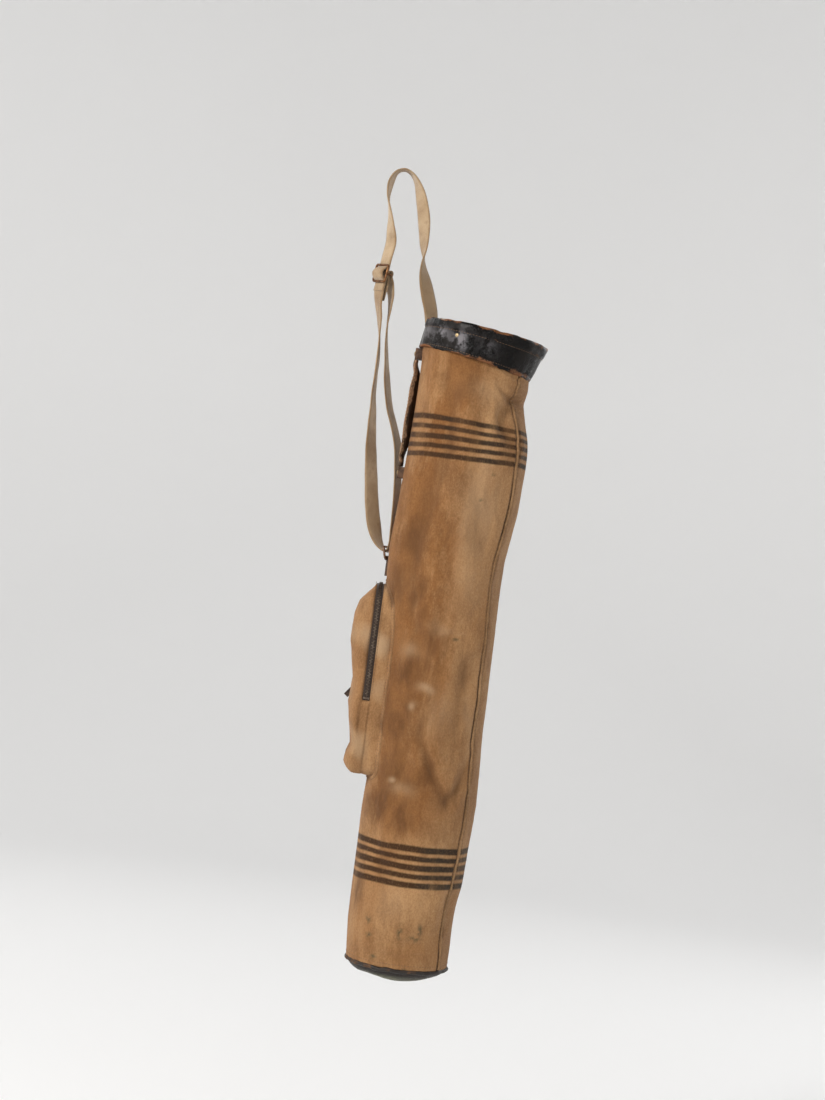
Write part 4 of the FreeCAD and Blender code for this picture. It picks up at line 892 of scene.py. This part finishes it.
def build_foot():
    angles = np.linspace(0, 2 * math.pi, 300, endpoint=False)
    reach = 66.9
    wander = Ripple(61, 26)
    ring = np.stack([-0.5 + reach * np.cos(angles), reach * np.sin(angles), 0 * angles], axis=-1)
    lump = wander.at(ring)
    ring[:, 2] += 0.5 * lump + 0.3
    ring[:, :2] += (ring[:, :2] - [-0.5, 0]) / reach * (0.25 * wander.at(ring + 50))[:, None]
    girth = 2.9 + 0.25 * Ripple(63, 12).at(ring)
    wear_and_light = np.clip(0.25 + 0.55 * lump, 0, 1)
    settle(tube("foot_piping", ring, girth, 14, closed=True, masks={"wear_and_light": wear_and_light}), "root", "base_piping",
           ["base_piping"])

    profile = [(65.2, 0.5), (65.1, -1.6), (64.3, -3.8), (62.3, -6.4), (58.6, -9.2), (53, -12.1), (46, -14.8),
               (38, -17.2), (30, -19.1), (22, -20.4), (15, -20.9), (8, -21.0), (2, -21.0)]
    inner = [(2, -19.2), (12, -19.1), (24, -17.8), (36, -14.9), (48, -10.8), (58, -6.0), (62.4, -2.0), (63, 0.5)]
    radii = np.array([r for r, _ in profile + inner])
    downs = np.array([d for _, d in profile + inner])
    a, r = np.meshgrid(angles, radii)
    d = np.tile(downs[:, None], (1, len(angles)))
    spot = np.stack([-0.5 + r * np.cos(a), r * np.sin(a), d], axis=-1)
    outer = (np.arange(len(radii)) < len(profile))[:, None] * smoothstep(-d, 3.0, 12.0) * (1 - smoothstep(-d, 19.8, 20.8))
    spot[..., 2] += outer * np.clip(Ripple(67, 40).at(spot) * 0.7, -1.0, 1.0)
    n = len(angles)
    faces = grid_faces(len(radii), n, wrap=True, flip=True)
    faces.append([(len(profile) - 1) * n + j for j in range(n)][::-1])
    faces = [face for face in faces if not (len(face) == 4 and min(face) >= (len(profile) - 1) * n
                                            and min(face) < len(profile) * n)]
    faces.append([len(profile) * n + j for j in range(n)])
    last = (len(radii) - 1) * n
    faces += [(j, (j + 1) % n, last + (j + 1) % n, last + j) for j in range(n)]
    uv = np.stack([spot[..., 0] / 1000, spot[..., 1] / 1000], axis=-1).reshape(-1, 2)
    shade = smoothstep(-spot[..., 2], 6.5, 13.5) * (0.55 + 0.45 * np.clip(0.5 + Ripple(69, 60).at(spot), 0, 1))
    settle(mesh_object("foot_cup", spot.reshape(-1, 3), faces, uv, {"olive": shade.ravel()}), "root", "base_cup",
           ["base_cup"])

    heights = np.linspace(0, 2 * math.pi, 480)
    line, out, _ = skin(heights, 8.0 + 0 * heights, 0.25)
    settle(stitches("foot_stitches", [(line, out)], 2.6, 1.6, 0.32), "root", "base_piping", material="thread_dark")


# --- strap --------------------------------------------------------------------------------------------------------

STRAP_UP = [
    (-65.0, 39.0, 815, 60), (-61.0, 40.6, 843, 58), (-63.6, 42.8, 866, 46), (-71.2, 46.2, 892, 42),
    (-78.6, 49.8, 917, 52), (-82.2, 51.5, 938, 78), (-83.4, 53.0, 956, 106), (-87.0, 53.8, 980, 124),
    (-92.6, 54.6, 1006, 127), (-99.6, 55.4, 1032, 120), (-107.4, 55.9, 1049, 106), (-115.4, 56.0, 1058.2, 95),
    (-124.5, 56.0, 1061.75, 90), (-134.2, 56.0, 1057.4, 84), (-140.4, 56.0, 1044, 76), (-142.0, 55.5, 1025.5, 82),
    (-137.6, 54.5, 1005.5, 95), (-133.4, 53.6, 985, 112), (-130.5, 53.0, 962, 123), (-134.8, 53.0, 928.5, 123),
    (-139.2, 53.0, 895, 123), (-137.0, 52.0, 875, 110), (-132.4, 50.5, 855, 100), (-130.0, 49.0, 833, 90),
    (-128.6, 47.0, 796, 84), (-127.4, 44.5, 759, 79), (-125.6, 41.0, 722, 70), (-121.6, 38.0, 678, 58),
    (-116.6, 35.5, 640, 50), (-110.8, 33.0, 604, 44), (-103.8, 31.4, 574, 46), (-95.4, 29.6, 552.6, 60),
    (-88.0, 27.9, 543.6, 72), (-82.6, 26.4, 542.2, 72),
]
STRAP_BACK = [
    (-82.6, 26.4, 542.2, 72), (-79.4, 25.5, 545.6, 72), (-77.8, 25.6, 555, 74), (-77.6, 27.4, 580, 70),
    (-79.2, 30.2, 625, 68), (-82.2, 33.0, 656, 68), (-86.8, 36.0, 688, 68), (-95.4, 39.0, 714, 70),
    (-103.4, 41.5, 735, 70), (-110.4, 43.5, 764, 73), (-115.4, 46.0, 795, 78), (-119.6, 48.5, 825, 85),
    (-121.2, 51.5, 849, 92), (-120.6, 55.6, 871, 100), (-121.4, 59.4, 889, 108), (-125.8, 60.2, 905, 118),
]


def slider_axes():
    """The slider's centre and its own across, inward and run directions, in the layout."""
    run = unit(np.array([8.7, 0.0, 67.0]))
    turn = math.radians(123)
    inner = np.array([math.sin(turn), -math.cos(turn), 0.0])
    inner = unit(inner - run * (inner @ run))
    return np.array([-136.4, 53.0, 917.0]), np.cross(inner, run), inner, run


def on_slider(pairs):
    """Stations from (inward, up the run) pairs about the slider's centre, with the webbing's turn there."""
    centre, _, inner, run = slider_axes()
    return [(*(centre + inner * i + run * u), 123) for i, u in pairs]


def build_strap():
    section = strap_section(25.4, 2.4)
    strap, path, (along, width, face) = band("shoulder_strap_webbing", STRAP_UP, section, 2.0, 0.3, 71)
    settle(strap, "root", "webbing", ["shoulder_strap"])

    loop = on_slider([(8.4, -3), (8.3, 1.5), (7.3, 3.6), (5.6, 4.3), (3.9, 3.4), (3.0, 1.0), (3.2, -2.4),
                      (4.8, -6.2), (5.7, -11), (5.6, -24), (5.4, -36)])
    strand, path_b, axes_b = band("strap_return_webbing", STRAP_BACK + loop[:1] + loop[1:], strap_section(25.2, 2.1),
                                  1.2, 0.0, 73)
    settle(strand, None, "webbing", ["strap_return", "strap_end_loop"])
    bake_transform(strand)

    knuckle = on_slider([(0.1, -24), (0.0, -16), (-0.35, -11.6), (-2.6, -8.6), (-6.4, -5.2), (-8.6, 0.0),
                         (-6.4, 5.2), (-2.6, 8.6), (-0.35, 11.6), (0.0, 16), (0.1, 24)])
    bulge, _, _ = band("strap_knuckle", knuckle, strap_section(25.6, 2.75), 0.9, 0.0, 79)
    settle(bulge, "strap_slider", "webbing")

    rows = []
    for lane in (-9.5, 9.5):
        line = np.array([p[:3] for p in on_slider([(9.55, -8), (9.55, -26)])])
        _, across, inner, _ = slider_axes()
        pts = np.array([line[0] + across * lane, line[1] + across * lane])
        rows.append((pts, np.tile(inner, (2, 1))))
    return path, (along, width, face)


# --- carry handle -------------------------------------------------------------------------------------------------

# The grip's line as (across, behind, above, turn of its width from +X). Its face turns a little to the front.
HANDLE = [
    (-75.8, 8.0, 802.2, 90), (-76.2, 8.2, 796, 84), (-72.6, 10.5, 782, 64), (-73.9, 12.0, 765, 56),
    (-74.5, 12.0, 742, 54), (-75.6, 12.0, 716, 54), (-76.1, 11.0, 692, 60), (-79.2, 8.6, 672, 78),
    (-78.8, 8.0, 664, 86), (-78.8, 8.0, 658.4, 90),
]


def build_handle():
    half, low = 9.5, 1.15
    across = np.linspace(-1, 1, 17)
    crown = low + 2.0 * (1 - smoothstep(np.abs(across), 0.42, 0.80)) - 0.55 * smoothstep(np.abs(across), 0.9, 1.0)
    top = [(a * half, h) for a, h in zip(across, crown)]
    back = [(a * half, -h * 0.9) for a, h in zip(across[::-1], crown[::-1])]
    section = np.array(top + back)
    grip, path, (along, width, face) = band("handle_grip_leather", HANDLE, section, 1.6, 0.12, 83)
    spots = np.array([v.co for v in grip.data.vertices]) * 1000
    lane = np.tile(section[:, 0], len(path)) / half
    # The tan front edge is partly wear and partly a painted highlight where the light falls on it; the face behind it
    # stays near black as painted shade.
    wear_and_light = 0.95 * smoothstep(-lane, 0.25, 0.95) + 0.35 * smoothstep(lane, 0.8, 1.0)
    wear_and_light += 0.45 * Ripple(87, 15).at(spots) * smoothstep(np.abs(lane), 0.1, 0.7)
    field = grip.data.attributes.new("wear_and_light", "FLOAT", "POINT")
    field.data.foreach_set("value", np.clip(wear_and_light, 0, 1.2).astype(np.float32))
    settle(grip, "handle", "handle_leather", ["handle_grip"])
    inner = [(x, y, z, turn) for x, y, z, turn in HANDLE[1:-1]]
    core, _, _ = band("handle_core_cord", inner, strap_section(11.0, 1.7, 0), 2.0, 0.0, 84)
    settle(core, "handle", "sash_cord", ["handle_core"])
    rows = []
    for side in (-1, 1):
        for sign in (-1, 1):
            line = path[2:-2, :3] + width[2:-2] * (side * 7.9) + face[2:-2] * (sign * 1.35)
            rows.append((line, face[2:-2] * sign))
    settle(stitches("handle_stitches", rows, 3.0, 1.7, 0.42), "handle", "handle_leather", material="thread_tan")


# --- ball pocket --------------------------------------------------------------------------------------------------

POCKET_HALF, POCKET_LOW, POCKET_SPRING = 36.0, 247.0, 464.0
# The pocket's outermost line on its middle, as (above, across).
POCKET_OUT = [(243, -88), (247, -97), (252, -103), (261, -105.6), (273, -103.2), (284, -99.6), (300, -101.4),
              (323, -105.6), (339, -108.6), (353, -107.0), (373, -106.6), (393, -110.2), (419, -114.2), (439, -115.6),
              (457, -114.2), (474, -110.0), (485.5, -104), (495, -96.5), (501, -91.5)]


def pocket_ring(count):
    """Points and outward directions round the pocket's arch outline, in (behind, above), from its low near corner."""
    half, low, spring = POCKET_HALF, POCKET_LOW, POCKET_SPRING
    corner = 9.0
    line = [(-half, z) for z in np.linspace(low + corner, spring, 60)]
    line += [(-half * math.cos(t), spring + half * math.sin(t)) for t in np.linspace(0, math.pi, 60)[1:]]
    line += [(half, z) for z in np.linspace(spring, low + corner, 60)[1:]]
    line += [(half - corner + corner * math.cos(t), low + corner - corner * math.sin(t))
             for t in np.linspace(0, math.pi / 2, 12)[1:]]
    line += [(y, low) for y in np.linspace(half - corner, corner - half, 24)[1:]]
    line += [(-half + corner - corner * math.sin(t), low + corner - corner * math.cos(t))
             for t in np.linspace(0, math.pi / 2, 12)[1:-1]]
    pts = np.array(line + line[:1])
    flat = np.hstack([pts, np.zeros((len(pts), 1))])
    even, _ = resample(flat, np.linalg.norm(np.diff(pts, axis=0), axis=1).sum() / count)
    pts = even[:count, :2]
    tangent = unit(np.roll(pts, -1, 0) - np.roll(pts, 1, 0))
    outward = np.stack([-tangent[:, 1], tangent[:, 0]], axis=1)
    return pts, outward


def bag_side(y, z, off=0.0):
    """The canvas's outside on the strap side at a depth and height, by its angle."""
    angle = math.pi + np.arcsin(np.clip(-np.asarray(y, float) / 73.0, -0.98, 0.98))
    spot, outward, _ = skin(angle, z, off)
    return spot, outward


def build_pocket():
    count = 300
    ring, outward = pocket_ring(count)
    y, z = ring[:, 0], ring[:, 1]
    out_z, out_x = zip(*POCKET_OUT)
    slack = Ripple(91, 46)
    pleat = Ripple(93, 20)
    root, _ = bag_side(y, z, -1.2)
    zipped = smoothstep(z, 340, 348)
    layers = []
    marks = []
    # side wall, from the bag out to the zip, over the zip's seat and on to the lip
    wall = [(0.0, 0), (0.12, 0), (0.3, 0), (0.5, 0), (0.7, 0), (0.86, 0), (0.95, 0), (1.0, 0)]
    for share, _ in wall:
        x = root[:, 0] + (-79.6 - root[:, 0]) * share
        belly = np.sin(share * math.pi) * (1.3 + 1.0 * slack.at(np.stack([x, y, z], -1)))
        hem = 0.5 * math.exp(-((share - 1.0) / 0.06) ** 2)
        yz = ring + outward * (belly + hem)[:, None]
        layers.append(np.column_stack([x, yz]))
        marks.append((0.75 * math.exp(-(share / 0.1) ** 2) + 0.35 * math.exp(-((share - 1) / 0.06) ** 2), 0))
    for x_at, dip in ((-79.9, 1.7), (-82.0, 2.3), (-84.5, 2.3), (-87.0, 2.3), (-89.1, 1.7), (-89.5, 0.2)):
        down = -dip * zipped + (1 - zipped) * 0.9
        yz = ring + outward * down[:, None]
        layers.append(np.column_stack([np.full(count, x_at), yz]))
        marks.append((0.6 * zipped, 0))
    spine_z = np.clip(z, POCKET_LOW + POCKET_HALF, POCKET_SPRING)
    for level in (0.06, 0.14, 0.24, 0.36, 0.48, 0.6, 0.7, 0.79, 0.86, 0.92, 0.96, 0.985, 1.0):
        bow = math.sin(level * math.pi / 2)
        keep = math.cos(level * math.pi / 2) ** 0.62 if level < 1 else 0.0
        zz = spine_z + (z - spine_z) * max(keep, 0.0)
        yy = y * keep
        far = np.interp(zz, out_z, out_x)
        x = -89.5 + (far + 89.5) * bow
        spot = np.column_stack([x, yy, zz])
        calm = min(1.0, level * 6) * (1 - 0.5 * level)
        puff = slack.at(spot) * 1.5 * calm + pleat.at(spot) * 0.5 * calm
        swell = 2.6 * math.sin(min(level * 2.2, 1) * math.pi) * (0.6 + 0.4 * slack.at(spot + 70))
        spot[:, 1] += outward[:, 0] * (puff * keep + swell)
        spot[:, 2] += outward[:, 1] * (puff * keep * 0.6 + swell * 0.7)
        spot[:, 0] -= puff * bow * 0.6
        layers.append(spot)
        marks.append((0.5 * math.exp(-(level / 0.05) ** 2), 0))
    verts = np.concatenate(layers)
    rows_n = len(layers)
    faces = grid_faces(rows_n, count, wrap=True)
    top = (rows_n - 1) * count
    centre_line = layers[-1]
    fold = np.concatenate([np.broadcast_to(m[0], count) for m in marks])
    # Painted shade: the pocket's canvas darkens in the hollows of its slack, through its fold mask.
    hollow = slack.at(verts)
    stain = np.clip(0.34 + 0.3 * slack.at(verts + 20), 0, 1) * (1 - smoothstep(verts[:, 2], 262, 380))
    zeros = np.zeros(len(verts))
    uv = np.stack([np.tile(np.arange(count) * 0.00203, rows_n),
                   np.repeat(np.linspace(0, 0.075, rows_n), count)], axis=1)
    pocket = mesh_object("pocket_canvas", verts, faces, uv, {
        "stain": stain, "rub": np.clip(0.4 * slack.at(verts + 55), 0, 1), "spots": zeros, "left_darkening": zeros + 0.25,
        "fold": np.clip(-hollow * 0.35, 0, 0.4), "seam": fold, "inside": zeros})
    settle(pocket, "root", "canvas_pocket", ["pocket_gusset", "pocket_front"])

    # the hem sewn flat to the bag round the pocket's foot
    steps = [-0.8, 0.6, 2.2, 4.0, 5.6, 6.4, 6.9]
    lifts = [1.3, 1.15, 0.95, 0.95, 1.0, 0.75, -0.2]
    hem_layers, hem_rows = [], []
    for step, lift in zip(steps, lifts):
        at = ring + outward * step
        spot, out = bag_side(at[:, 0], at[:, 1], lift + 0.15 * pleat.at(np.column_stack([at, at[:, :1]])))
        hem_layers.append(spot)
    for step in (1.6, 4.8):
        at = ring + outward * step
        at = np.vstack([at, at[:1]])
        hem_rows.append(bag_side(at[:, 0], at[:, 1], 1.15))
    verts = np.concatenate(hem_layers)
    faces = grid_faces(len(steps), count, wrap=True, flip=True)
    zeros = np.zeros(len(verts))
    uv = np.stack([np.tile(np.arange(count) * 0.00203, len(steps)), np.repeat(np.array(steps) / 1000, count)], axis=1)
    seam = np.repeat(np.exp(-((np.array(steps) - 6.6) / 1.0) ** 2) + 0.5 * np.exp(-(np.array(steps) / 0.8) ** 2), count)
    hem = mesh_object("pocket_hem", verts, faces, uv, {
        "stain": np.clip(0.35 + 0.4 * slack.at(verts), 0, 1), "rub": zeros, "spots": zeros, "fold": zeros,
        "left_darkening": zeros + 0.4,
        "seam": seam, "inside": zeros})
    settle(hem, "root", "canvas_pocket", ["pocket_flange"])
    rows = list(hem_rows)
    arch = z > 352
    order = np.where(arch)[0]
    for x_at in (-78.0, -91.0):
        pts = np.column_stack([np.full(len(order), x_at), ring[order] + outward[order] * (1.0 if x_at > -80 else 0.9)])
        out = np.column_stack([np.zeros(len(order)), outward[order]])
        rows.append((pts, out))
    settle(stitches("pocket_stitches", rows, 2.4, 1.5, 0.3), "root", "canvas_pocket", material="thread_dark")


# --- CAD pieces that keep their own shape -------------------------------------------------------------------------

def dress_cad_nodes():
    kept = {
        "collar_lining": "lining_leather", "mouth_hoop": "steel_wire", "collar_studs": "rivet_brass",
        "base_board": "board", "spine_stay": "ash_slat", "stay_sleeve": "canvas_lining",
        "slider_frame": "slider_metal", "slider_bar": "slider_metal", "anchor_patch": "patch_leather",
        "anchor_rivets": "rivet_brass", "lower_ring": "ring_metal", "ring_chape": "tab_leather",
        "chape_rivet": "rivet_brass", "handle_top_tab": "tab_leather",
        "handle_low_tab": "tab_leather", "handle_rivets": "rivet_brass", "zip_tape_inner": "zip_tape",
        "zip_tape_outer": "zip_tape", "zip_teeth_inner": "zip_metal", "zip_teeth_outer": "zip_metal",
        "zip_stops": "zip_metal", "zip_slider": "zip_metal", "zip_pull_link": "zip_metal",
        "zip_pull_tab": "pull_leather",
    }
    for node, material in kept.items():
        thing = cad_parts[node]
        for slot in thing.material_slots:
            slot.material = MATERIALS[material]


# --- stage --------------------------------------------------------------------------------------------------------

def build_stage():
    floor_z, reach, bend, tall, sides = -1.42, 4.6, 1.5, 4.2, 96
    turns = np.linspace(0, math.pi / 2, 14)
    profile = [(0.0, floor_z), (reach - bend, floor_z)]
    profile += [(reach - bend + bend * math.sin(t), floor_z + bend - bend * math.cos(t)) for t in turns[1:]]
    profile += [(reach, tall)]
    round_trip = np.linspace(0, 2 * math.pi, sides, endpoint=False)
    verts = [(r * math.cos(t) + 0.12, r * math.sin(t), z) for r, z in profile[1:] for t in round_trip]
    verts.append((0.12, 0.0, floor_z))
    faces = [tuple(face) for face in grid_faces(len(profile) - 1, sides, wrap=True, flip=True)]
    faces += [(len(verts) - 1, j, (j + 1) % sides) for j in range(sides)]
    mesh = bpy.data.meshes.new("studio_floor")
    mesh.from_pydata(verts, [], faces)
    mesh.polygons.foreach_set("use_smooth", np.ones(len(mesh.polygons), bool))
    floor = bpy.data.objects.new("studio_floor", mesh)
    bpy.context.collection.objects.link(floor)
    material = bpy.data.materials.new("studio_floor")
    material.use_nodes = True
    shader = material.node_tree.nodes["Principled BSDF"]
    shader.inputs["Base Color"].default_value = (0.90, 0.90, 0.90, 1)
    shader.inputs["Roughness"].default_value = 0.95
    mesh.materials.append(material)

    world = bpy.data.worlds.new("studio")
    bpy.context.scene.world = world
    world.use_nodes = True
    back = world.node_tree.nodes["Background"]
    back.inputs["Color"].default_value = (1.0, 1.0, 1.0, 1)
    back.inputs["Strength"].default_value = 0.34
    bpy.context.scene.view_settings.view_transform = "Standard"


def lamp(name, spot, aim, power, size_m, color=(1, 1, 1)):
    data = bpy.data.lights.new(name, "AREA")
    data.energy = power
    data.size = size_m
    data.color = color
    light = bpy.data.objects.new(name, data)
    light.location = spot
    light.rotation_euler = (Vector(aim) - Vector(spot)).to_track_quat("-Z", "Y").to_euler()
    bpy.context.collection.objects.link(light)


def build_lights():
    middle = (0.1, 0.0, -0.5)
    lamp("key", (-2.25, -2.4, 1.1), middle, 104, 1.0, (1.0, 0.98, 0.95))
    lamp("fill", (1.6, -3.2, 0.3), middle, 13, 2.4)
    lamp("back_left", (-1.9, 2.0, 0.9), middle, 18, 1.6)
    lamp("back_right", (2.2, 2.0, 0.6), middle, 24, 1.6)


def build_camera():
    """Level and square to the bag's front, rolled so that the bag leans as it hangs in the photograph."""
    roll = math.radians(7.28)
    aim = Vector(row((-48.6, 0.0, 549.1)))
    distance = 3.0
    right = Vector((math.cos(roll), 0, math.sin(roll)))
    up = Vector((-math.sin(roll), 0, math.cos(roll)))
    back = Vector((0, -1, 0))
    data = bpy.data.cameras.new("camera")
    data.lens = 73.4
    data.clip_end = 60
    camera = bpy.data.objects.new("camera", data)
    camera.matrix_world = Matrix((
        (right.x, up.x, back.x, aim.x), (right.y, up.y, back.y, aim.y - distance),
        (right.z, up.z, back.z, aim.z), (0, 0, 0, 1)))
    bpy.context.collection.objects.link(camera)
    bpy.context.scene.camera = camera


build_canvas()
build_collar()
build_foot()
build_strap()
build_handle()
build_pocket()
dress_cad_nodes()
build_stage()
build_lights()
build_camera()
